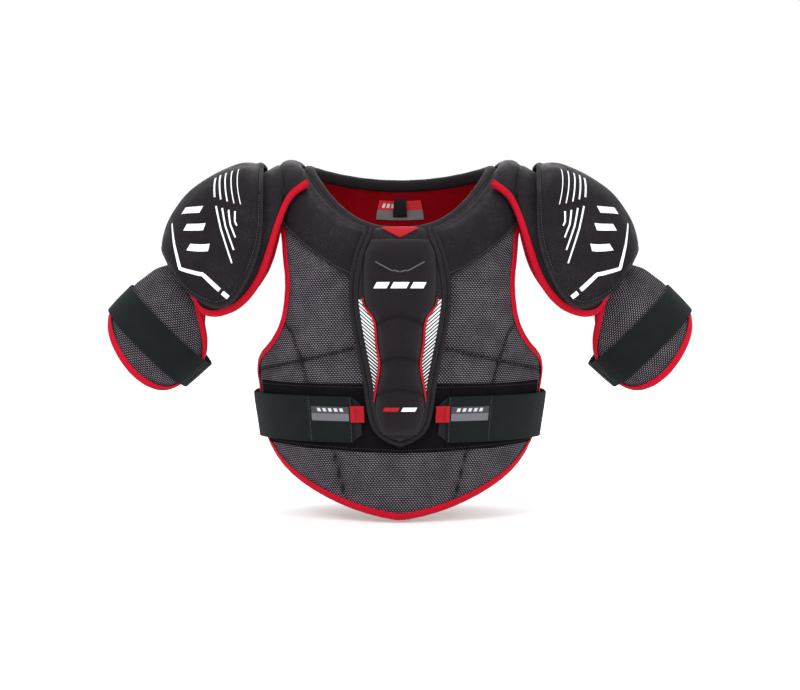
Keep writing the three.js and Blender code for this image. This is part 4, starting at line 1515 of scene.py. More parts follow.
# What repeats along a line
class Repeats:
    """A node tree that lays one small shape at even steps along lines."""

    def __init__(self) -> None:
        """Builds the tree."""
        tree = bpy.data.node_groups.new("repeats_along_lines", "GeometryNodeTree")
        self.tree = tree
        for name, kind in (("Lines", "NodeSocketGeometry"), ("Step", "NodeSocketFloat"), ("Size", "NodeSocketVector"),
                           ("Finish", "NodeSocketMaterial")):
            tree.interface.new_socket(name, in_out="INPUT", socket_type=kind)
        tree.interface.new_socket("Pieces", in_out="OUTPUT", socket_type="NodeSocketGeometry")
        kinds = {"enter": "NodeGroupInput", "leave": "NodeGroupOutput", "curve": "GeometryNodeMeshToCurve",
                 "points": "GeometryNodeCurveToPoints", "bead": "GeometryNodeMeshUVSphere",
                 "align": "FunctionNodeAlignRotationToVector", "lay": "GeometryNodeInstanceOnPoints",
                 "real": "GeometryNodeRealizeInstances", "dress": "GeometryNodeSetMaterial"}
        nodes = {name: tree.nodes.new(kind) for name, kind in kinds.items()}
        nodes["points"].mode = "LENGTH"
        nodes["align"].axis = "X"
        for name, value in (("Segments", 6), ("Rings", 4), ("Radius", 0.5)):
            nodes["bead"].inputs[name].default_value = value
        for start, leaves, end, enters in (
                ("enter", "Lines", "curve", "Mesh"), ("curve", "Curve", "points", "Curve"),
                ("enter", "Step", "points", "Length"), ("points", "Points", "lay", "Points"),
                ("points", "Tangent", "align", "Vector"), ("align", "Rotation", "lay", "Rotation"),
                ("bead", "Mesh", "lay", "Instance"), ("enter", "Size", "lay", "Scale"),
                ("lay", "Instances", "real", "Geometry"), ("real", "Geometry", "dress", "Geometry"),
                ("enter", "Finish", "dress", "Material"), ("dress", "Geometry", "leave", "Pieces")):
            tree.links.new(nodes[start].outputs[leaves], nodes[end].inputs[enters])

    def lay(self, name: str, lines: Sequence[Array], step: float, size: tuple[float, float, float],
            finish: Finish) -> bpy.types.Object:
        """Lays the small shapes along lines.

        Args:
            name: The piece's name.
            lines: The lines, each a row of points.
            step: Distance between the shapes.
            size: Length, width and height of each.
            finish: What they are made of.

        Returns:
            A plain mesh.
        """
        mesh = bpy.data.meshes.new(name)
        points = np.concatenate(lines) * MM
        edges, start = [], 0
        for line in lines:
            edges += [(start + i, start + i + 1) for i in range(len(line) - 1)]
            start += len(line)
        mesh.from_pydata(points.tolist(), edges, [])
        obj = added(name, mesh)
        live = obj.modifiers.new("repeats", "NODES")
        live.node_group = self.tree
        sockets = {s.name: s.identifier for s in self.tree.interface.items_tree if s.in_out == "INPUT"}
        live[sockets["Step"]] = step * MM
        live[sockets["Size"]] = [s * MM for s in size]
        live[sockets["Finish"]] = finish.material()
        graph = bpy.context.evaluated_depsgraph_get()
        made = bpy.data.meshes.new_from_object(obj.evaluated_get(graph))
        obj.modifiers.remove(live)
        obj.data = made
        made.name = name
        made.shade_smooth()
        return obj


@dataclass
class Bench:
    """Where the pieces are made, named, and fixed to their bodies."""

    repeats: Repeats = field(default_factory=Repeats)
    made: int = 0

    def fix(self, obj: bpy.types.Object, body: str, slot: str, *nodes: str) -> bpy.types.Object:
        """Makes a piece ride on a body and stand for its nodes.

        Args:
            obj: The piece.
            body: The body that it rides on.
            slot: The material slot of the record.
            nodes: The nodes that it stands for.

        Returns:
            The piece.
        """
        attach(obj, body)
        return self.stand(obj, slot, *nodes)

    def stand(self, obj: bpy.types.Object, slot: str, *nodes: str) -> bpy.types.Object:
        """Makes a piece stand for its nodes.

        Args:
            obj: The piece.
            slot: The record's material slot; not used.
            nodes: The nodes that it stands for.

        Returns:
            The piece.
        """
        if nodes:
            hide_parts(*nodes)
        self.made += 1
        log.info("%s: %d faces", obj.name, len(obj.data.polygons))
        return obj

    def piece(self, name: str, shape: Shape, finish: Finish, body: str, *nodes: str) -> bpy.types.Object:
        """Builds a piece from a shape and fixes it."""
        return self.fix(shape.build(name, finish), body, finish.slot, *nodes)

    def pair(self, name: str, shape: Shape, finish: Finish, body: str, *nodes: str) -> list[bpy.types.Object]:
        """Builds a piece on each side; body and nodes hold {} where the side goes."""
        return [self.piece(f"{name}_{s.tag}", shape.on(s), finish, body.format(s.tag),
                           *(n.format(s.tag) for n in nodes)) for s in Side]

    def padded(self, name: str, shape: Shape, finish: Finish, body: str, node: str) -> None:
        """Builds a padded piece on each side; body and node hold {} where the side goes."""
        for piece in self.pair(name, shape, finish, body, node):
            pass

    def stitches(self, name: str, lines: Sequence[Array], body: str, finish: Finish, step: float = 3.3,
                 size: tuple[float, float, float] = (2.3, 0.75, 0.5), sides: bool = False) -> None:
        """Sews stitches along lines.

        Args:
            name: The piece's name.
            lines: The lines.
            body: The body; it holds {} where the side goes.
            finish: The thread.
            step: Stitch length with its gap.
            size: Length, width and height of a stitch.
            sides: Whether it is sewn on each side.
        """
        for side in (Side if sides else (Side.RIGHT,)):
            drawn = [line * (side.value, 1, 1) for line in lines]
            label = f"{name}_{side.tag}" if sides else name
            obj = self.repeats.lay(label, drawn, step, size, finish)
            self.fix(obj, body.format(side.tag), finish.slot)


def lines_on(surface: Surface, paths: Sequence[Line], lift: float,
             count: int = 80) -> list[Array]:
    """Lines over a surface, each through stations across and up it.

    Args:
        surface: The surface.
        paths: Stations of each line.
        lift: How far over the surface they run.
        count: Points on each line.

    Returns:
        The lines.
    """
    lines = []
    for path in paths:
        p = np.array(path, float)
        run = run_along(p)
        stops = np.linspace(0, run[-1], count)
        at, out = surface(np.interp(stops, run, p[:, 0]), np.interp(stops, run, p[:, 1]))
        lines.append(at + out * lift)
    return lines


def cut_sheet(obj: bpy.types.Object, grid: Grid, held: Held, *rests_on: str) -> None:
    """Measures a layer's grid for the width and length of its sheet of cloth; nothing is done with the sizes.

    Args:
        obj: The piece; not used.
        grid: The piece's grid.
        held: How it is held; not used.
        rests_on: What it lies on; not used.
    """
    p = grid.place.at
    width = float(np.linalg.norm(np.diff(p, axis=1), axis=2).sum(1).max()) * 1e-3
    length = float(np.linalg.norm(np.diff(p, axis=0), axis=2).sum(0).max()) * 1e-3


@dataclass(frozen=True)
class EdgeTape:
    """Red tape folded over the edge of a padded piece.

    Attributes:
        proud: How far its fold stands off the pad's edge.
        back: How far it lies on the faces.
        bulge: How far it bulges past its own line.
        half: Half its height.
        seam: How far inside its line it is sewn.
        waves: How fast its long and short unevenness goes.
    """

    proud: float
    back: float
    bulge: float
    half: float
    seam: float
    waves: tuple[float, float]


def edge_tape(bench: Bench, grid: Grid, name: str, thread: str, body: str, middle: float, tape: EdgeTape) -> None:
    """Folds tape over a pad's edge on each side and sews it down.

    Args:
        bench: Where pieces are made and fixed.
        grid: The pad's grid.
        name: The tape's name, and its node's.
        thread: Name of its stitches.
        body: The body; it holds {} where the side goes.
        middle: Depth of the pad's middle under its face.
        tape: The tape's sizes.
    """
    edge, out, away = grid.border()
    away = unit(evened(away, 24))
    line = evened(edge - out * middle + away * tape.proud, 8)
    fast, slow = tape.waves
    wave = lambda s, k: 1 + 0.02 * np.sin(s * fast + 0.5 * k) + 0.015 * np.sin(s * slow)
    shape = swept(line, away, out, folded_section(tape.back, tape.bulge, tape.half, TAPE), 2.2, wave=wave)
    bench.pair(name, shape, Kit.RED_TAPE, body, name + "_{}")
    bench.stitches(thread, [line - away * tape.seam + out * tape.half], body, Kit.RED_THREAD, *TAPE_STITCH, sides=True)


# Vest
@dataclass
class Vest:
    """The front and back panels with their linings, edge tapes, yokes and belt landing."""

    cover: float = 1.0
    foam: float = 6.5
    gap: float = 0.3
    tuck: float = 3.2
    tape_half: float = 5.3
    tape_bulge: float = 4.2
    yoke_lift: tuple[float, float] = (0.5, 4.1)
    front_creases: tuple[Crease, ...] = (
        Crease(((200, -243), (163, -225), (53, -198)), 2.2, 1.8, 1.3, 11),
        Crease(((135, -172), (127, -180), (109, -237), (103, -262)), 1.2, 1.5, 0.9, 10),
        Crease(((80, -312), (76, -323), (65, -370), (58, -396)), 1.2, 1.5, 0.8, 10),
    )
    yoke_seam: tuple[tuple[float, float], tuple[float, float]] = ((59, -125), (137, -58))
    liner_seams: tuple[tuple[float, float], ...] = ((38, -8), (44, -150), (50, -345))

    def panel(self, pattern: Pattern, columns: int, rows: int, tuck: float) -> Grid:
        """The grid of a panel, tucked into its edge tape.

        Args:
            pattern: The panel's pattern.
            columns: How many stations across.
            rows: How many stations up.
            tuck: How far it goes into its edge tape.

        Returns:
            The grid.
        """
        reach = tuck / 190
        wide = lambda v: PANEL_SIDE + reach * smooth((1 - SEAM_SHARE - v) / 0.06)
        up = gathered(8.4 / LENGTH - tuck / LENGTH, NECKLINE, rows, 0.02)
        return Grid(lambda u, v: pattern.at(u * wide(v), v), gathered(-1, 1, columns, 0.035), up,
                    lambda u, v: pattern.flat(u * PANEL_SIDE, v))

    def squeeze(self, grid: Grid, lift: float) -> Array:
        """How far a layer at a lift is drawn to the middle by the edge tape."""
        draw = 0.30 * (1 - smooth(grid.place.edge / 11))
        return -(lift + THICK / 2) * draw

    def sewn(self, grid: Grid, creases: Sequence[Crease], seed: int) -> Array:
        """The quilted relief of a cover.

        Args:
            grid: The piece's grid.
            creases: The stitched channels.
            seed: Picks the unevenness.

        Returns:
            What the face adds.
        """
        p = grid.place
        x, z = np.abs(p.at[..., 0]), p.at[..., 2]
        dip = sum((c.dip(x, z) for c in creases), np.zeros_like(x))
        inside = smooth(p.edge / 30)
        return -dip * smooth(p.edge / 4) + 0.45 * ripple(p.at[..., 0], z, 46, seed) * inside

    def build_panels(self, bench: Bench) -> None:
        """Covers, foams and linings of both panels.

        Args:
            bench: Where pieces are made and fixed.
        """
        back_creases = (
            Crease(((50, -128), (58, -200), (52, -262), (40, -345)), 1.6, 1.6, 1.0, 10),
            Crease(((58, -200), (110, -214), (172, -232)), 1.6, 1.6, 1.0, 10),
        )
        for word, pattern, creases, seed in (("front", FRONT, self.front_creases, 3), ("back", BACK, back_creases, 5)):
            fine = self.panel(pattern, 110, 130, self.tuck)
            relief = self.sewn(fine, creases, seed)
            x, z = np.abs(fine.place.at[..., 0]), fine.place.at[..., 2]
            # Painted shade: the cover's colour is darkened along the quilting creases.
            fold = sum((c.shade(x, z) for c in creases), np.zeros_like(x))
            cover = fine.layer(-self.cover, 0, relief + self.squeeze(fine, -0.5), roll=0.8, fold=fold)
            piece = bench.piece(f"{word}_cover", cover, Kit.MESH, "vest", f"{word}_cover")
            cut_sheet(piece, fine, Held.STRETCHED, f"{word}_foam")
            seam = self.lining_relief(fine, word == "back")
            inner = -THICK + self.cover
            lining = fine.layer(-THICK, inner, seam + self.squeeze(fine, -THICK + 0.5), roll=0.8)
            piece = bench.piece(f"{word}_liner", lining, Kit.LINING, "vest", f"{word}_liner")
            cut_sheet(piece, fine, Held.STRETCHED, f"{word}_foam")
            core = self.panel(pattern, 70, 84, self.tuck - 1)
            low, high = -THICK + 1 + self.gap, -self.cover - self.gap
            over = self.sewn(core, creases, seed) + self.squeeze(core, high)
            under = self.lining_relief(core, word == "back") + self.squeeze(core, low)
            core_shape = core.layer(low, high, over - 0.1, roll=2.0, under=under + 0.1)
            bench.piece(f"{word}_foam", core_shape, Kit.FOAM, "vest", f"{word}_foam")
            self.tape(bench, word, fine)
            lines = self.crease_lines(word, creases)
            bench.stitches(f"{word}_quilting", lines, "vest", Kit.THREAD, 3.6)

    def lining_relief(self, grid: Grid, seams: bool) -> Array:
        """The seams and slack of a lining; it lifts towards the foam at a seam.

        Args:
            grid: The piece's grid.
            seams: Whether it has seams.

        Returns:
            What the face adds.
        """
        p = grid.place
        x, z = np.abs(p.at[..., 0]), p.at[..., 2]
        slack = 0.35 * ripple(p.at[..., 0], z, 60, 9) * smooth(p.edge / 30)
        if not seams:
            return slack
        return slack + Crease(self.liner_seams, 1.3, 1.3, 0.9, 9).dip(x, z)

    def crease_lines(self, word: str, creases: Sequence[Crease]) -> list[Array]:
        """The quilting seams as lines in the creases.

        Args:
            word: front or back.
            creases: The stitched channels.

        Returns:
            The lines.
        """
        lines = []
        for crease in creases:
            p = np.array(crease.line, float)
            run = run_along(p)
            stops = np.linspace(0, run[-1], 60)
            x, z = np.interp(stops, run, p[:, 0]), np.interp(stops, run, p[:, 1])
            for sign in (1, -1):
                degrees, height = TORSO.chest(sign * x, z)
                at, out = TORSO.at(180 - degrees if word == "back" else degrees, height)
                keep = (np.abs(x) < 158) & (z > -378)
                lines.append((at - out * (crease.depth + crease.pull * 0.7 - 0.25))[keep])
        return lines

    def tape(self, bench: Bench, word: str, grid: Grid) -> None:
        """The red tape folded over a panel's edge.

        Args:
            bench: Where pieces are made and fixed.
            word: front or back.
            grid: The piece's grid.
        """
        top = int(np.sum(grid.rows > 1 - SEAM_SHARE - 0.006))
        at, out, away = grid.border(trim_top=top)
        away = unit(evened(away, 30))
        line = evened(at - out * (THICK / 2) + away * (self.tuck * -0.5 + 4.2 - self.tuck * 0.3), 6)
        section = folded_section(5.0, self.tape_bulge, self.tape_half, TAPE)
        wave = lambda s, k: 1 + 0.018 * np.sin(s * 1.35 + 0.4 * k) + 0.014 * np.sin(s * 0.37)
        shape = swept(line, away, out, section, 2.2, wave=wave)
        bench.piece(f"{word}_binding", shape, Kit.RED_TAPE, "vest", f"{word}_binding")
        seam = line - away * 3.9 + out * (self.tape_half + 0.02)
        bench.stitches(f"{word}_binding_stitches", [seam], "vest", Kit.RED_THREAD, *TAPE_STITCH)

    def build_yokes(self, bench: Bench) -> None:
        """The padded yokes over the collarbones and the upper back.

        Args:
            bench: Where pieces are made and fixed.
        """
        (x0, z0), (x1, z1) = self.yoke_seam
        join = 1 - SEAM_SHARE - 0.005

        def seam_row(u: Array) -> Array:
            """The share up the panel where the yoke's lower edge lies.

            Args:
                u: Stations across.

            Returns:
                The shares.
            """
            x = np.abs(FRONT.at(u, np.full_like(u, 0.72))[0][:, 0])
            wanted = mix(z0, z1, (x - x0) / (x1 - x0))
            low = halved(np.full_like(u, 0.45), np.full_like(u, 0.99),
                         lambda middle: FRONT.at(u, middle)[0][:, 2] < wanted, 18)
            return np.minimum(low, join - 0.01)

        columns = gathered(0.155, PANEL_SIDE - 0.004, 60, 0.04)
        stations = np.linspace(columns[0], columns[-1], 60)
        seams = seam_row(stations)

        grid = Grid(lambda u, v: FRONT.at(u, mix(np.interp(u, stations, seams), NECKLINE, v)), columns,
                    gathered(0, 1, 66, 0.05))
        self.yoke(bench, "front_yoke", grid, 11, sides=True)
        behind = Grid(BACK.at, gathered(-PANEL_SIDE + 0.004, PANEL_SIDE - 0.004, 100, 0.03),
                      gathered(0.675, NECKLINE, 56, 0.05))
        self.yoke(bench, "back_yoke", behind, 13, sides=False)

    def yoke(self, bench: Bench, name: str, grid: Grid, seed: int, sides: bool) -> None:
        """One yoke: puffed between its seams, with a stitched line inside its lower edge.

        Args:
            bench: Where pieces are made and fixed.
            name: The piece's name.
            grid: The piece's grid.
            seed: Picks the unevenness.
            sides: Whether it is made on each side.
        """
        p = grid.place
        low, high = self.yoke_lift
        near_neck = smooth((p.v - 0.86) / 0.14 if sides else (p.v - 0.95) / 0.04)
        swell = 0.8 * smooth(p.edge / 16) + 0.35 * ripple(p.at[..., 0], p.at[..., 2], 38, seed)
        groove = 1.1 * np.exp(-(((p.edge - 6.5) / 1.4) ** 2)) * (1 - near_neck)
        relief = swell * smooth(p.edge / 8) - groove - 1.3 * near_neck
        # Painted shade: the groove is darkened through fold.
        shape = grid.layer(low, high, relief, roll=3.2, under=0.0, fold=0.6 * groove)
        shape = filled(shape, grid.held(groove / 1.1 + near_neck), most=1.2)
        ring = p.at + p.out * (high + relief)[..., None]
        row = int(np.argmin(np.abs(p.edge[:, len(grid.columns) // 2][: len(grid.rows) // 2] - 6.5)))
        seam = evened(ring[row, 6:-6], 2)
        if sides:
            for piece in bench.pair(name, shape, Kit.TWILL, "vest", name + "_{}"):
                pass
        else:
            bench.piece(name, shape, Kit.TWILL, "vest", name)
        bench.stitches(f"{name}_stitches", [seam], "vest", Kit.GREY_THREAD, sides=sides)

    def build_collar(self, bench: Bench) -> None:
        """The rolled black tape round the neck opening.

        Args:
            bench: Where pieces are made and fixed.
        """
        degrees = np.linspace(0, 360, 241)[:-1]
        at, out = TORSO.at(degrees, np.zeros(240))
        along = np.roll(at, -1, 0) - np.roll(at, 1, 0)
        up = unit(np.cross(along, out))
        up *= np.sign(up[:, 2:3] + 1e-9)
        rise = unit(mix(up, np.array([0, 0, 1.0]), 0.55))
        line = at - out * (THICK / 2) + np.array([0, 0, 5.2])
        front = [(-7.5, 5.9), (-6.8, 6.5), (-4.5, 6.7), (-2, 6.2), (1, 5.2), (3.4, 3.4), (4.6, 1.2), (4.7, -1.0)]
        rear = [(3.6, -3.4), (1.2, -4.9), (-2, -5.6), (-4.5, -5.8), (-6.6, -5.6), (-7.4, -5.0)]
        shape = swept(line, rise, unit(out - rise * (out * rise).sum(1, keepdims=True)), front + rear, 3.0, loop=True,
                      wave=lambda s, k: 1 + 0.02 * np.sin(s * 0.9 + 0.5 * k) + 0.02 * np.sin(s * 0.23))
        bench.piece("neck_binding", shape, Kit.BLACK_TAPE, "vest", "neck_binding")
        flat_out = unit(out - rise * (out * rise).sum(1, keepdims=True))
        seam = line + flat_out * 6.8 - rise * 4.6
        bench.stitches("neck_binding_stitches", [np.concatenate([seam, seam[:1]])], "vest", Kit.GREY_THREAD)

    def build_landing(self, bench: Bench) -> None:
        """The band of loop pile that the belts and the breastbone pad close on.

        Args:
            bench: Where pieces are made and fixed.
        """
        band = lambda u, v: TORSO.at(70 * u, mix(-319 + 70 * np.abs(u) * 0.11, -239, v))
        grid = Grid(band, gathered(-1, 1, 110, 0.01), gathered(0, 1, 26, 0.03))
        shape = grid.layer(0.3, 2.0, 0.35 * ripple(grid.place.at[..., 0], grid.place.at[..., 2], 24, 21), roll=1.2)
        cut_sheet(bench.piece("loop_band", shape, Kit.LOOP, "vest", "loop_band"), grid, Held.LAID, "front_cover")
        rows = [[(-0.99, 0.045), (0.99, 0.045)], [(-0.99, 0.955), (0.99, 0.955)]]
        bench.stitches("loop_band_stitches", lines_on(band, rows, 2.1, 160), "vest", Kit.THREAD)

    def build_plate(self, bench: Bench) -> None:
        """The stiff spine plate, with its ribs and vents, and the label and hanging loop.

        Args:
            bench: Where pieces are made and fixed.
        """
        half = through([(-290, 22), (-250, 36), (-195, 46), (-155, 44), (-140, 34)])

        def plate(u: Array, v: Array) -> Pair:
            """Points on the vest, and how far out the plate's face lies from them.

            Args:
                u: Stations across.
                v: Stations up.

            Returns:
                The points and distances.
            """
            z = mix(-290, -140, v)
            x = u * half(z)
            under, _ = TORSO.at(180 - np.degrees(np.arcsin(x / TORSO.wide(z))), z)
            over = np.stack([x * 0.86, np.full_like(x, 124), mix(z, -215, 0.06)], -1)
            return under, over - under

        grid = Grid(plate, gathered(-1, 1, 44, 0.05), gathered(0, 1, 66, 0.04))
        p = grid.place
        high = 1 - 0.42 * (1 - smooth(p.edge / 7))
        ribs = 0.10 * smooth((p.edge - 8) / 3) * (1 - smooth(np.abs(((p.v * 7.0) % 1) - 0.5) / 0.16))
        ribs = ribs * smooth((np.abs(p.u) - 0.12) / 0.08)

        def vent(u: Array, v: Array) -> Array:
            """Whether a place is in one of the slots."""
            rows = ((0.26, 0.32), (0.44, 0.5), (0.62, 0.68))
            return (np.abs(np.abs(u) - 0.4) < 0.28) & np.any([(v > low) & (v < top) for low, top in rows], axis=0)

        shape = grid.layer(0.12, 0.0, high - ribs, roll=1.5, under=0.0, opening=vent)
        bench.piece("spine_plate", shape, Kit.PLASTIC, "vest", "spine_plate")

        def label(u: Array, v: Array) -> Pair:
            """Points behind the neck, and the directions towards the wearer."""
            at, out = TORSO.at(180 - 11 * u, mix(-46, -18, v))
            return at, -out

        grid = Grid(label, gathered(-1, 1, 24, 0.05), gathered(0, 1, 16, 0.05))
        shape = grid.layer(THICK + 0.6, THICK + 1.3, 0.25 * ripple(grid.place.at[..., 0], grid.place.at[..., 2], 20, 2),
                           roll=0.6)
        bench.piece("neck_label", shape, Kit.NECK_LABEL, "vest", "neck_label")

        grid = Grid(lambda u, v: label(u * 0.3, mix(0.15, 1.15, v)), gathered(-1, 1, 8, 0.1), gathered(0, 1, 26, 0.05))
        bow = 2.6 * np.sin(np.pi * np.clip(grid.place.v, 0, 1))
        shape = grid.layer(THICK + 1.6, THICK + 2.7, bow, roll=0.6)
        bench.piece("hanging_loop", shape, Kit.BLACK_TAPE, "vest", "hanging_loop")

    def build(self, bench: Bench) -> None:
        """Builds the whole vest.

        Args:
            bench: Where pieces are made and fixed.
        """
        self.build_panels(bench)
        self.build_yokes(bench)
        self.build_collar(bench)
        self.build_landing(bench)
        self.build_plate(bench)


# Waist belts
@dataclass
class Belts:
    """Elastic from the back round each side, with its hook tab, pull and label in front."""

    top: float = -253
    width: float = 53
    lift: float = 4.8
    thick: float = 2.3
    end: float = 18.5
    fold: float = 38.0
    tab_end: float = 15.2
    sewn: float = 136

    def face(self, u: Array, share: Array) -> Pair:
        """Points under the belt at degrees round the body and a share of its width."""
        return TORSO.at(u, self.top - self.width * (1 - share))

    def flat(self, u: Array, v: Array) -> Pair:
        """Where a point lies on the webbing."""
        return u * 3.0, v * self.width

    def build(self, bench: Bench) -> None:
        """Builds both belts.

        Args:
            bench: Where pieces are made and fixed.
        """
        across = np.concatenate([gathered(self.end, self.fold, 16, 0.04), np.linspace(self.fold, self.sewn, 92)[1:]])
        grid = Grid(self.face, across, gathered(0, 1, 22, 0.02), self.flat)
        p = grid.place
        doubled = 1.0 * smooth((self.fold - p.u) / 0.6)
        slack = 0.35 * ripple(p.u * 3, p.v * 53, 60, 31) * smooth((p.u - self.fold) / 10)
        ease = 1.5 * smooth((p.u - 124) / 10) + 3.0 * np.exp(-(((p.u - 90.5) / 9) ** 4))
        shape = grid.layer(self.lift, self.lift + self.thick, slack + doubled - ease, roll=0.9, under=slack - ease)
        for side in Side:
            obj = shape.on(side).build(f"belt_elastic_{side.tag}", Kit.ELASTIC)
            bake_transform(obj)
            bench.stand(obj, Kit.ELASTIC.slot, f"belt_{side.tag}", f"belt_back_{side.tag}")
        self.build_end(bench)
        box = [[(19.2, 0.05), (19.2, 0.95)], [(37.0, 0.05), (37.0, 0.95)]]
        seams = lines_on(self.face, box, self.lift + self.thick + 1.05, 30)
        bench.stitches("belt_stitches", seams, "belt_{}", Kit.GREY_THREAD, *STRAP_STITCH, sides=True)
        back = lines_on(self.face, [[(134.6, 0.04), (134.6, 0.96)], [(129.0, 0.04), (129.0, 0.96)]],
                        self.lift + self.thick - 1.3, 30)
        bench.stitches("belt_back_stitches", back, "vest", Kit.GREY_THREAD, *STRAP_STITCH, sides=True)

    def build_end(self, bench: Bench) -> None:
        """The hook tab, the red pull and the label of each belt.

        Args:
            bench: Where pieces are made and fixed.
        """
        def tab(u: Array, v: Array) -> Pair:
            """Points under the tab, whose corners are cut off."""
            cut = 0.14 * np.clip((self.end - u) / (self.end - self.tab_end), 0, 1)
            return self.face(u, mix(0.03 + cut, 0.97 - cut, v))

        grid = Grid(tab, np.concatenate([gathered(self.tab_end, self.end, 10, 0.08), np.linspace(self.end, 27, 8)[1:]]),
                    gathered(0, 1, 20, 0.03), self.flat)
        shape = grid.layer(self.lift - 1.6, self.lift - 0.25, roll=0.6)
        bench.pair("belt_hook_tab", shape, Kit.HOOK, "belt_{}", "belt_hook_tab_{}")
        lift = self.lift + self.thick + 1.0

        grid = Grid(lambda u, v: self.face(u, mix(0.44, 0.80, v)), gathered(13.7, 19.2, 40, 0.05),
                    gathered(0, 1, 16, 0.06), self.flat)
        p = grid.place
        ribs = 0.9 * (0.5 + 0.5 * np.cos((p.u - 13.7) / 1.375 * 2 * np.pi)) * smooth(p.edge / 1.5)
        drop = -1.4 * smooth((self.end - p.u) / 1.5)
        # Painted shade: the hollows between the ribs are darkened through fold.
        shape = grid.layer(lift - 0.5, lift + 0.9, ribs + drop, roll=0.8, under=drop, fold=0.45 * (1 - ribs / 0.9))
        bench.pair("belt_pull", shape, Kit.RED_RUBBER, "belt_{}", "belt_pull_{}")

        grid = Grid(lambda u, v: self.face(u, mix(0.47, 0.78, v)), gathered(19.8, 36, 24, 0.02),
                    gathered(0, 1, 10, 0.05))
        shape = grid.layer(lift - 0.1, lift + 0.45, 0.1 * ripple(grid.place.u * 3, grid.place.v * 16, 14, 5), roll=0.4)
        bench.pair("belt_tag", shape, Kit.TAG, "belt_{}", "belt_tag_{}")


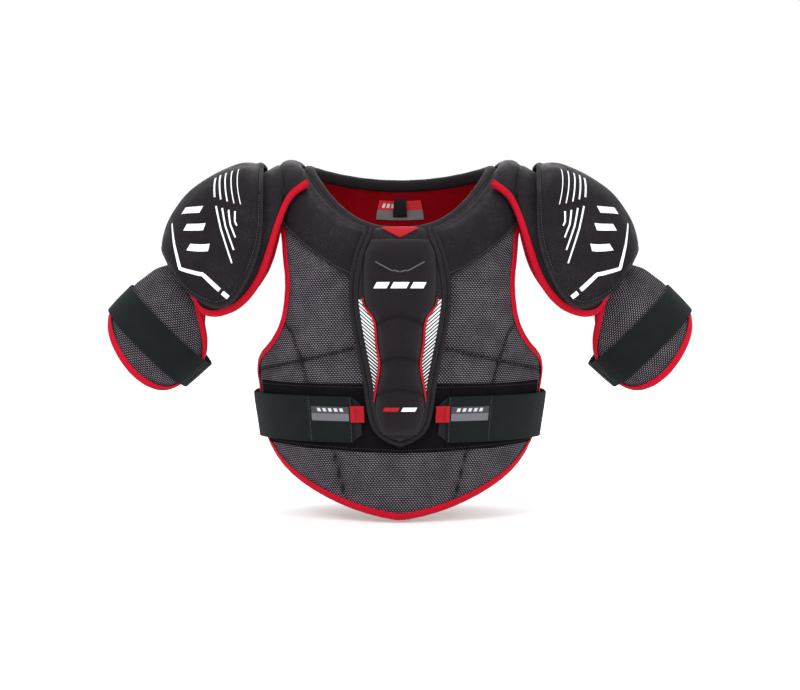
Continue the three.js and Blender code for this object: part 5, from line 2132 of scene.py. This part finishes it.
# Breastbone pad
@dataclass
class Breastbone:
    """The floating pad over the breastbone: crowned, piped twice round, with a moulded centre."""

    lift: float = 5.8
    thick: float = 11
    edge: float = 6
    top: float = -68
    bottom: float = -303

    def __post_init__(self) -> None:
        """Draws its outlines and reads the chest under it once."""
        self.half = through([(-303, 4), (-299, 17), (-290, 27), (-270, 33), (-235, 38), (-199, 45), (-165, 51),
                             (-134, 54), (-92, 48), (-68, 37)])
        self.shell_half = through([(-294, 19), (-270, 26), (-250, 25), (-216, 20), (-193, 23), (-165, 26), (-148, 37),
                                   (-92, 38), (-78, 31)])

    def chest(self, x: Array, z: Array) -> Pair:
        """Points on the vest under x and z, and the directions out of it."""
        return TORSO.at(*TORSO.chest(x, z))

    def crown(self, x: Array, z: Array) -> Array:
        """Height of the pad's face over the vest."""
        share = np.clip(np.abs(x) / (self.half(z) - 3.2), 0, 1)
        return self.lift + mix(self.thick, self.edge, share**3)

    def over(self, x: Array, z: Array) -> Pair:
        """Points on the pad's own face at x and z, and the directions out of it."""
        at, out = self.chest(x, z)
        return at + out * self.crown(x, z)[..., None], out

    def build(self, bench: Bench) -> None:
        """Builds the pad, its piping, its moulded centre and its trims.

        Args:
            bench: Where pieces are made and fixed.
        """
        def base(u: Array, v: Array) -> Pair:
            """Points on the vest under the pad."""
            z = mix(self.bottom, self.top, v)
            return self.chest(u * (self.half(z) - 3.4), z)

        foot, head = gathered(0, 0.12, 12, 0.12)[:-6], gathered(0.9, 1, 8, 0.2)[6:]
        up = np.concatenate([foot, np.linspace(0.12, 0.9, 60), head])
        grid = Grid(base, gathered(-1, 1, 60, 0.05), up)
        p = grid.place
        z = mix(self.bottom, self.top, p.v)
        crown = mix(self.thick, self.edge, np.abs(p.u) ** 3) - self.thick
        valley = 1.1 * np.exp(-(((np.abs(p.at[..., 0]) - self.shell_half(z) - 1.5) / 2.2) ** 2))
        soft = 0.35 * ripple(p.at[..., 0], z, 30, 41) * smooth(p.edge / 10)
        shape = grid.layer(self.lift - 0.6, self.lift + self.thick, crown + (soft - valley) * smooth(p.edge / 5),
                           roll=4.5, under=0.0)
        shape = filled(shape, grid.held(valley / 1.1), most=1.6)
        bench.piece("sternum_pad", shape, Kit.TWILL, "breastbone", "sternum_pad")
        self.build_piping(bench, base)
        self.build_shell(bench)
        self.build_trims(bench)

    def build_piping(self, bench: Bench, base: Surface) -> None:
        """Two cords round the pad, side by side, with a bound seam between them.

        Args:
            bench: Where pieces are made and fixed.
            base: Points under the pad.
        """
        rows = np.linspace(0, 1, 90)
        ring = [(-1, v) for v in rows[:0:-1]] + [(u, 0) for u in np.linspace(-1, 1, 16)] + [(1, v) for v in rows[1:]]
        u, v = np.array(ring, float).T
        at, out = base(u, v)
        away = unit(evened(outside(at, out, np.array([0, -110, -190.0])), 10))
        outer = evened(at + away * 3.4 + out * (self.lift + self.edge / 2 + 0.6), 10)
        rope = lambda s, k: 1 + 0.045 * np.sin(s * 1.9 + k * 1.05)
        cord = swept(outer, away, out, round_section(3.4, 14), 1.5, wave=rope)
        inner = evened(at - away * 3.6 + out * (self.lift + self.edge + 0.7), 10)
        second = swept(inner, away, out, round_section(3.0, 14, 0.85), 1.5, wave=rope)
        bench.piece("sternum_piping", Shape.joined([cord, second]), Kit.CORD, "breastbone", "sternum_piping")
        seam = evened(at - away * 0.2 + out * (self.lift + self.edge + 1.2), 10)
        bench.stitches("sternum_stitches", [seam], "breastbone", Kit.GREY_THREAD, 2.8, (1.9, 0.6, 0.5))
        inside = evened(at - away * 7.6 + out * (self.lift + self.edge + 2.3), 10)
        bench.stitches("sternum_inner_stitches", [inside[14:-14]], "breastbone", Kit.THREAD, 2.8, (1.9, 0.6, 0.5))

    def build_shell(self, bench: Bench) -> None:
        """The moulded centre with its creases, and its grey chevron.

        Args:
            bench: Where pieces are made and fixed.
        """
        def face(u: Array, v: Array) -> Pair:
            """Points under the moulded centre."""
            z = mix(-295, -79, v)
            return self.over(u * self.shell_half(z), z)

        grid = Grid(face, gathered(-1, 1, 52, 0.06), gathered(0, 1, 110, 0.025))
        p = grid.place
        x, z = p.at[..., 0], mix(-295, -79, p.v)
        dip = np.zeros_like(x)
        for height, rise, depth in ((-171, 9, 1.5), (-215, 7, 1.3), (-250, 6, 1.1)):
            arc = z - (height + rise * (1 - (x / 26) ** 2))
            dip += depth * np.exp(-((arc / 2.0) ** 2)) + 0.5 * np.exp(-((arc / 7) ** 2))
        swell = 1.0 * smooth(p.edge / 14)
        rib = 0.8 * np.exp(-((from_line(np.abs(x), z, ((0, -113), (26, -99))) / 1.1) ** 2))
        high = 2.2 + (swell - dip) * smooth(p.edge / 4) + rib * 0.5
        # Painted shade: the creases are darkened through fold.
        shape = grid.layer(0.1, 0.0, high, roll=2.6, under=0.0, fold=0.55 * dip)
        bench.piece("sternum_shell", shape, Kit.SHELL, "breastbone", "sternum_shell")
        marks = []
        run = np.linspace(0, 1, 30)
        section = [(-0.7, 0.0), (-0.6, 0.3), (0.6, 0.3), (0.7, 0.0), (0.5, -0.2), (-0.5, -0.2)]
        for side in Side:
            at, out = (part * (side.value, 1, 1) for part in self.over(mix(0.6, 26, run), mix(-112.5, -99, run)))
            marks.append(swept(at + out * 3.55, unit(np.cross(np.gradient(at, axis=0), out)), out, section, 1.5))
        bench.piece("sternum_chevron", Shape.joined(marks), Kit.GREY_PRINT, "breastbone")
        bars = [self.slash(c, wide, -128, (-3.5, 3.5), (3.3, 3.62), 8)
                for c, wide in ((-19.5, 14), (0, 17), (19.5, 14))]
        bench.piece("sternum_print", Shape.joined(bars), Kit.PRINT, "breastbone")
        for name, c, wide, finish in (("foot_print_red", -9.5, 16, Kit.RED_RUBBER), ("foot_print", 9.5, 15, Kit.PRINT)):
            bench.piece(name, self.slash(c, wide, -266, (-2, 2.5), (3.1, 3.45), 10), finish, "breastbone")

    def slash(self, centre: float, wide: float, level: float, span: tuple[float, float],
              lift: tuple[float, float], columns: int) -> Shape:
        """A slanting bar printed on the pad.

        Args:
            centre: X of its middle.
            wide: Its width.
            level: Height where its centre is.
            span: Its foot and top over that height.
            lift: Lifts of its under side and face.
            columns: Stations across it.

        Returns:
            The bar.
        """
        def bar(u: Array, v: Array) -> Pair:
            """Points under the bar."""
            z = mix(level + span[0], level + span[1], v)
            return self.over(centre + u * wide / 2 + (z - level) * 0.5, z)

        return Grid(bar, gathered(-1, 1, columns, 0.05), gathered(0, 1, 5, 0.05)).layer(*lift, roll=0.15)

    def build_trims(self, bench: Bench) -> None:
        """The red cord and pale insert on each side, and the red accent at the top.

        Args:
            bench: Where pieces are made and fixed.
        """
        z = np.linspace(-258, -141, 90)
        at, out = self.over(self.shell_half(z) + 2.1, z)
        away = unit(np.cross(np.gradient(at, axis=0), out))
        thin = lambda s, k: mix(1.0, 0.45, smooth((s - 104) / 18) + smooth((12 - s) / 12)) + 0 * k
        shape = swept(evened(at + out * 1.5, 4), away, out, round_section(1.45, 10), 1.5, wave=thin)
        bench.pair("sternum_trim", shape, Kit.RED_RUBBER, "breastbone", "sternum_trim_{}")

        def insert(u: Array, v: Array) -> Pair:
            """Points between the moulded centre and the piping.

            Args:
                u: Stations across.
                v: Stations up.

            Returns:
                The points, and the directions out.
            """
            z = mix(-262, -143, v)
            inner = self.shell_half(z) + 3.4
            outer = self.half(z) - 7.6
            return self.over(mix(inner, np.maximum(outer, inner + 0.8), u), z)

        def plain(u: Array, v: Array) -> Pair:
            """Where a point lies on the insert's cloth."""
            return insert(u.ravel(), v.ravel())[0][:, 0].reshape(u.shape), v * 119

        grid = Grid(insert, gathered(0, 1, 16, 0.06), gathered(0, 1, 66, 0.02), plain)
        shape = grid.layer(-0.4, 0.75, 0.3 * np.sin(np.pi * grid.place.u), roll=0.5, under=0.0)
        bench.pair("sternum_insert", shape, Kit.INSERT, "breastbone", "sternum_insert_{}")

        grid = Grid(lambda u, v: self.over(21 * u, mix(-78 + 7.5 * np.abs(u), -70, v)),
                    gathered(-0.93, 0.93, 30, 0.04), gathered(0, 1, 10, 0.08))
        shape = grid.layer(0.0, 1.9, 0.6 * smooth(grid.place.edge / 2), roll=1.0, under=0.0)
        bench.piece("sternum_accent", shape, Kit.RED_RUBBER, "breastbone", "sternum_accent")


# Shoulder wings and caps
WING_FRONT = [(-60, -0.78, 52), (-47, -0.91, 22), (-38, -0.98, -10), (-25, -1, -49), (-4, -0.98, -77),
              (20, -0.93, -88), (38, -0.88, -86), (48, -0.83, -75)]
WING_RIDGE = [(-75, 0, 94), (-51, 0, 94), (-28, 0, 80), (-2, 0, 78), (24, 0, 69), (47, 0, 55), (65, 0, 35),
              (76, 0, 12), (80, 0, -12)]
WING_BACK = [(-60, 0.76, 76), (-46, 0.89, 48), (-37, 0.97, 8), (-25, 1, -36), (-4, 0.98, -68), (20, 0.93, -83),
             (38, 0.88, -84), (48, 0.83, -75)]
CAP_FRONT = [(-28, -0.38, 87), (-30, -0.85, 50), (-28, -0.98, 0), (-16, -1, -39), (3, -0.98, -70), (21, -0.95, -79),
             (41, -0.91, -73), (61, -0.85, -59), (78, -0.69, -38), (90, -0.4, -20)]
CAP_RIDGE = [(-25, 0, 92), (0, 0, 91), (25, 0, 82), (45, 0, 71), (61, 0, 59), (74, 0, 45), (84, 0, 30), (91, 0, 14),
             (95, 0, 0), (96, 0, -10)]


@dataclass
class Shoulders:
    """The padded wings under the caps, and the caps with their print."""

    wing: float = 7
    cover: float = 1.6
    shell: float = 2
    foam: float = 3.4
    gap: float = 0.3
    margin: float = 0.05

    def __post_init__(self) -> None:
        """Draws both saddles."""
        roots = []
        for degrees in (61.0, 119.0):
            at, out = TORSO.at(np.array([degrees]), np.array([-9.0]))
            roots.append((*(at + out * (1.5 + 2.4 + 3.6 + self.wing))[0], 0))
        self.under = Saddle(86, [roots[0], *WING_FRONT], WING_RIDGE, [roots[1], *WING_BACK])
        self.over = Saddle(99, CAP_FRONT, CAP_RIDGE, [(out, -share, up) for out, share, up in CAP_FRONT])

    def build_wing(self, bench: Bench) -> None:
        """The wing's pad, its seams and its red edge tape.

        Args:
            bench: Where pieces are made and fixed.
        """
        at = lambda u, v: self.under.at(u * (0.965 + 0.012), mix(0.035 - 0.012, 0.98, v))
        grid = Grid(at, gathered(-1, 1, 100, 0.04), gathered(0, 1, 90, 0.03))
        p = grid.place
        seams = 1.5 * np.exp(-(((p.v - 0.855) / 0.011) ** 2)) + 0.8 * np.exp(-(((p.v - 0.855) / 0.04) ** 2))
        squeeze = 1.7 * (1 - smooth(p.edge / 12))
        puff = 0.5 * ripple(p.at[..., 1], p.at[..., 2], 40, 51) + 0.5 * smooth(p.edge / 20)
        soft = smooth(p.edge / 5)
        top = (puff - seams) * soft - squeeze
        under = squeeze * 0.9 + 0.3 * puff * soft
        # Painted shade: the stitched seam is darkened through fold.
        shape = grid.layer(-self.wing, 0, top, roll=2.5, under=under, fold=0.5 * seams)
        shape = filled(shape, grid.held(seams / 1.8), most=1.2)
        bench.padded("wing_pad", shape, Kit.TWILL, "shoulder_{}", "wing_pad_{}")
        edge_tape(bench, grid, "wing_binding", "wing_binding_stitches", "shoulder_{}", self.wing / 2,
                  EdgeTape(2.6, 4.6, 4.0, 4.5, 3.6, (1.3, 0.33)))
        row = [[(u, 0.855) for u in np.linspace(-0.9, 0.9, 40)]]
        bench.stitches("wing_stitches", lines_on(at, row, -1.45, 90), "shoulder_{}", Kit.THREAD, sides=True)

    def build_cap(self, bench: Bench) -> None:
        """The cap's cover, moulded insert and foam, with their print and stitching.

        Args:
            bench: Where pieces are made and fixed.
        """
        grid = Grid(self.over.at, gathered(-1, 1, 104, 0.03), gathered(0, 1, 104, 0.03))
        p = grid.place
        channel = 1.1 * np.exp(-(((p.edge - 8.5) / 1.3) ** 2)) + 0.5 * np.exp(-(((p.edge - 8.5) / 4.5) ** 2))
        lip = 0.5 * np.exp(-(((p.edge - 3.2) / 2.6) ** 2))
        puff = 0.8 * smooth((p.edge - 8) / 20) + 0.3 * ripple(p.at[..., 1], p.at[..., 2], 44, 61)
        relief = puff * smooth(p.edge / 6) + lip - channel
        turned_in = 1.4 * (1 - smooth((p.edge - 9) / 3))
        # Painted shade: the stitched channel is darkened through fold.
        shape = grid.layer(0.0, 0.0, relief, roll=2.2, under=-self.cover - turned_in, fold=0.7 * channel)
        bench.padded("cap_cover", shape, Kit.TWILL, "cap_{}", "cap_cover_{}")
        low = self.margin
        core = Grid(lambda u, v: self.over.at(u * (1 - low), mix(low, 1 - low, v)), gathered(-1, 1, 60, 0.03),
                    gathered(0, 1, 60, 0.03))
        face = -self.cover - self.gap
        shape = core.layer(face - self.shell, face, roll=1.0)
        bench.pair("cap_shell", shape, Kit.PLASTIC, "cap_{}", "cap_shell_{}")
        face = face - self.shell - self.gap
        soft = 0.3 * ripple(core.place.at[..., 1], core.place.at[..., 2], 26, 71)
        shape = core.layer(face - self.foam, face, 0.0, roll=1.6, under=soft)
        bench.padded("cap_foam", shape, Kit.FOAM, "cap_{}", "cap_foam_{}")
        bench.stitches("cap_stitches", self.channel_line(grid, 8.5, 0.75), "cap_{}", Kit.GREY_THREAD, sides=True)
        self.build_print(bench, grid, relief)

    def channel_line(self, grid: Grid, inset_by: float, depth: float) -> list[Array]:
        """The line that runs in the cap's stitched channel.

        Args:
            grid: The cap's grid.
            inset_by: How far inside the edge it runs.
            depth: How deep it lies.

        Returns:
            The line, as one of a list.
        """
        turns = np.linspace(0, 2 * np.pi, 260)
        spoke = np.stack([np.cos(turns), np.sin(turns)])
        spoke = spoke / np.abs(spoke).max(0)
        depth_at = lambda share: grid.read(grid.place.edge, spoke[0] * share, 0.5 + spoke[1] * share / 2)
        low = halved(np.full(260, 0.6), np.ones(260), lambda share: depth_at(share) > inset_by, 14)
        at, out = self.over.at(spoke[0] * low, 0.5 + spoke[1] * low / 2)
        return [evened(at - out * depth, 3)]

    def build_print(self, bench: Bench, grid: Grid, relief: Array) -> None:
        """The white shapes printed on the cap: two sets of pinstripes, three bars and a bent border.

        Args:
            bench: Where pieces are finished.
            grid: The cap's grid.
            relief: The relief of the cap's face on that grid.
        """
        strips: list[Shape] = []

        def line(path: Line, wide: tuple[float, float], slant: float = 0.0) -> None:
            """Prints one line.

            Args:
                path: Its stations on the cap.
                wide: Its width at both ends.
                slant: How far its ends lean.
            """
            pts = np.array(path, float)
            run = run_along(pts)

            def spot(s: Array) -> Pair:
                """Stations at lengths along the line."""
                return np.interp(s, run, pts[:, 0]), np.interp(s, run, pts[:, 1])

            def band(u: Array, v: Array) -> Pair:
                """Points across and along the line.

                Args:
                    u: Stations across.
                    v: Stations up.

                Returns:
                    The points, and the directions out.
                """
                s = v * run[-1]
                at, out = self.over.at(*spot(s))
                step = run[-1] * 0.03
                ahead, _ = self.over.at(*spot(np.minimum(s + step, run[-1])))
                behind, _ = self.over.at(*spot(np.maximum(s - step, 0)))
                along = unit(ahead - behind)
                half = (u * mix(wide[0], wide[1], v) / 2)[:, None]
                return at + (unit(np.cross(along, out)) + along * slant) * half, out

            block = Grid(band, gathered(-1, 1, 6, 0.1), np.linspace(0, 1, 48))
            high = grid.read(relief, *spot(block.place.v * run[-1]))
            strips.append(block.layer(-0.15, 0.3, high, roll=0.12))

        for i in range(5):
            line([(-0.24 - 0.0075 * i * i, 0.74 + 0.031 * i), (-0.455 - 0.0625 * i, 0.69 + 0.024 * i)],
                 (2.4 - 0.32 * i, 2.2 - 0.3 * i))
        for i in range(4):
            middle = (-0.675 - 0.02 * i, 0.643 + 0.026 * i)
            line([(-0.525 - 0.055 * i, 0.675 + 0.024 * i), middle, (-0.87 + 0.035 * i, 0.618 + 0.034 * i)], (2.2, 1.8))
        for i in range(3):
            line([(-0.615 + 0.15 * i, 0.405 + 0.03 * i), (-0.695 + 0.125 * i, 0.545 + 0.023 * i)], (8.5, 8.5), 0.35)
        border = [(-0.30, 0.333), (-0.545, 0.29), (-0.775, 0.262), (-0.79, 0.348), (-0.81, 0.43), (-0.92, 0.50)]
        line(border, (1.8, 5.2))
        line([(-0.935, 0.509), (-0.97, 0.53)], (5.2, 5.2))
        bench.pair("cap_print", Shape.joined(strips), Kit.PRINT, "cap_{}")

    def build_link(self, bench: Bench) -> None:
        """The gusset under each wing's root, sewn to the yoke and to the wing.

        Args:
            bench: Where pieces are made and fixed.
        """
        def sling(u: Array, v: Array) -> Pair:
            """Points from the yoke up to the wing.

            Args:
                u: Stations across.
                v: Stations up.

            Returns:
                The points, and the directions out.
            """
            low, out = TORSO.at(90 + 17 * u, np.full_like(u, -15.0))
            low = low + out * 5.0
            high, over = self.under.at(0.5 * u, np.full_like(u, 0.80))
            high = high - over * (self.wing + 1.6)
            sag = np.array([0, 0, -1.5]) * np.sin(np.pi * v)[:, None]
            return mix(low, high, v[:, None]) + sag, unit(mix(out, over, v[:, None]))

        grid = Grid(sling, gathered(-1, 1, 40, 0.04), gathered(0, 1, 26, 0.05))
        shape = grid.layer(-0.5, 0.5, 0.3 * ripple(grid.place.at[..., 1], grid.place.at[..., 2], 22, 97), roll=0.5)
        for side in Side:
            obj = shape.on(side).build(f"shoulder_link_{side.tag}", Kit.LINK)
            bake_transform(obj)
            bench.stand(obj, Kit.LINK.slot)
            cut_sheet(obj, grid, Held.STRETCHED, f"front_yoke_{side.tag}")

    def build(self, bench: Bench) -> None:
        """Builds both shoulders."""
        self.build_wing(bench)
        self.build_link(bench)
        self.build_cap(bench)


# Upper arm guards
@dataclass
class Guards:
    """The gutter round the outside of each upper arm, its edge tape and its elastic strap."""

    thick: float = 7
    strap_top: float = 132
    strap_width: float = 41
    strap_thick: float = 2.2
    strap_lift: float = 1.5
    front: float = -72
    back: float = 221

    def __post_init__(self) -> None:
        """Draws the guard's flat pattern."""
        edge = [(-71, 172), (-73, 150), (-66, 131), (-50, 114), (-30, 101), (-10, 90), (4, 80), (5, 62)]
        foot = [(-71, 172), (-58, 192), (-31, 203), (0, 204), (38, 194), (72, 178), (90, 172)]
        turn = lambda d: 180 - d * (0.6 if d < 0 else 1)
        front, back = Curve(edge), Curve([(turn(d), along) for d, along in edge])
        hem = Curve(foot + [(turn(d), along) for d, along in foot[-2::-1]])
        top = lambda u: np.stack([mix(5.0, 175.0, u), np.full_like(u, 62.0)], -1)
        self.pattern = patch(hem.along, top, front.along, back.along)

    def at(self, u: Array, v: Array) -> Pair:
        """Points on the guard's outer face and the directions out."""
        p = self.pattern(u, v)
        return ARM.at(p[..., 0], p[..., 1])

    def flat(self, u: Array, v: Array) -> Pair:
        """Where a point lies on the cloth."""
        p = self.pattern(u, v)
        return p[..., 0] * 1.05, p[..., 1]

    def build(self, bench: Bench) -> None:
        """Builds both guards.

        Args:
            bench: Where pieces are made and fixed.
        """
        tucked = lambda u, v: (mix(0.022, 0.978, u), mix(0.046, 0.98, v))
        flat = lambda u, v: self.flat(*tucked(u, v))
        grid = Grid(lambda u, v: self.at(*tucked(u, v)), gathered(0, 1, 110, 0.03), gathered(0, 1, 84, 0.03), flat)
        p = grid.place
        a, b = flat(p.u, p.v)
        squeeze = 1.7 * (1 - smooth(p.edge / 11))
        pressed = 0.9 * np.exp(-(((b - (self.strap_top + self.strap_width / 2)) / 22) ** 6))
        puff = (0.5 * ripple(a, b, 36, 81) + 0.6 * smooth(p.edge / 22)) * smooth(p.edge / 5)
        relief = puff - pressed * smooth(p.edge / 8) - squeeze
        shape = grid.layer(-self.thick, 0, relief, roll=2.4, under=0.9 * squeeze + 0.2 * puff)
        shape = filled(shape, grid.held(pressed), most=1.1)
        bench.padded("arm_guard", shape, Kit.MESH, "arm_{}", "arm_guard_{}")
        edge_tape(bench, grid, "arm_guard_binding", "arm_guard_stitches", "arm_{}", self.thick / 2,
                  EdgeTape(2.4, 4.4, 3.8, 4.4, 3.4, (1.35, 0.31)))
        self.build_strap(bench)

    def build_strap(self, bench: Bench) -> None:
        """The elastic strap, sewn in front and closing behind the arm.

        Args:
            bench: Where pieces are made and fixed.
        """
        face = lambda u, v: ARM.at(u, self.strap_top + self.strap_width * v)
        free = 360 + self.front - 1.2
        spans = (("arm_strap", self.front, self.back + 0.4, 96), ("arm_strap_tail", self.back + 0.8, free, 40))
        for name, start, end, count in spans:
            grid = Grid(face, gathered(start, end, count, 1 / (end - start)), gathered(0, 1, 20, 0.03),
                        lambda u, v: (u * 1.05, v * self.strap_width))
            p = grid.place
            slack = 0.35 * ripple(p.u, p.v * 41, 50, 91) * smooth(p.edge / 10)
            shape = grid.layer(self.strap_lift, self.strap_lift + self.strap_thick, slack, roll=0.9)
            body = "arm_{}" if name == "arm_strap" else "strap_tail_{}"
            bench.pair(name, shape, Kit.ELASTIC, body, name + "_{}")
        rows = [[(self.front + 3, 0.05), (self.front + 3, 0.95)], [(self.front + 9, 0.05), (self.front + 9, 0.95)]]
        seams = lines_on(face, rows, self.strap_lift + self.strap_thick + 0.05, 24)
        bench.stitches("arm_strap_stitches", seams, "arm_{}", Kit.GREY_THREAD, *STRAP_STITCH, sides=True)


# Studio
@dataclass
class Studio:
    """A plain pale floor, soft light and the camera, in metres."""

    aim: tuple[float, float, float] = (0.0, 0.0, -0.2)
    distance: float = 2.667
    elevation: float = 3.0
    lens: float = 100.0
    clearance: float = 0.002

    def place_camera(self) -> None:
        """Puts the camera in front of the pads, a little above their middle."""
        lens = bpy.data.cameras.new("camera")
        lens.lens = self.lens
        lens.sensor_width = 36
        camera = added("camera", lens)
        turn = math.radians(self.elevation)
        camera.location = (self.aim[0], self.aim[1] - self.distance * math.cos(turn),
                           self.aim[2] + self.distance * math.sin(turn))
        camera.rotation_euler = (math.pi / 2 - turn, 0, 0)
        bpy.context.scene.camera = camera

    def lay_floor(self, lowest: float) -> None:
        """Lays the floor under the pads.

        Args:
            lowest: The lowest point of the pads.
        """
        z = lowest - self.clearance
        mesh = bpy.data.meshes.new("floor")
        size = 40.0
        mesh.from_pydata([(-size, -size, z), (size, -size, z), (size, size, z), (-size, size, z)], [], [(0, 1, 2, 3)])
        shading = Shading("pale_floor")
        tone = shading.noise(400.0, 2.0)
        mesh.materials.append(shading.finish((0.93, 0.93, 0.93), shading.between(tone, 0.3, 0.7, 0.9, 0.98), None,
                                             gloss=0.0))
        shading.shader.inputs["Emission Color"].default_value = (1, 1, 1, 1)
        shading.shader.inputs["Emission Strength"].default_value = 0.12
        added("floor", mesh)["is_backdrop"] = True

    def light(self) -> None:
        """Hangs the soft lamps and sets the room's own light."""
        lamps = (
            ("key", (-1.3, -2.3, 1.7), 1.6, 34.0),
            ("fill", (1.7, -2.1, 0.9), 1.6, 22.0),
            ("top", (0.0, 0.2, 2.2), 2.0, 30.0),
            ("back", (0.0, 2.4, 1.4), 2.2, 24.0),
        )
        for name, place, size, power in lamps:
            lamp = bpy.data.lights.new(name, "AREA")
            lamp.shape = "DISK"
            lamp.size = size
            lamp.energy = power
            obj = added(name, lamp)
            obj.location = place
            toward = np.array(self.aim) - np.array(place)
            tilt = math.atan2(math.hypot(toward[0], toward[1]), -toward[2])
            obj.rotation_euler = (tilt, 0, -math.atan2(toward[0], toward[1]))
        world = bpy.data.worlds.new("room")
        world.use_nodes = True
        background = world.node_tree.nodes["Background"]
        background.inputs["Color"].default_value = (1, 1, 1, 1)
        background.inputs["Strength"].default_value = 1.0
        bpy.context.scene.world = world
        bpy.context.scene.view_settings.view_transform = "Standard"


def main() -> None:
    """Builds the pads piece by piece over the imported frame."""
    logging.basicConfig(level=logging.INFO, format="%(name)s %(message)s")
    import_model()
    frame_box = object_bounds()
    studio = Studio()
    studio.place_camera()
    bench = Bench()
    Vest().build(bench)
    Belts().build(bench)
    Breastbone().build(bench)
    Shoulders().build(bench)
    Guards().build(bench)
    looks_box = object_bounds()
    studio.lay_floor(min(float(frame_box[0][2]), float(looks_box[0][2])))
    studio.light()
    log.info("%d pieces", bench.made)


if __name__ == "__main__":
    main()
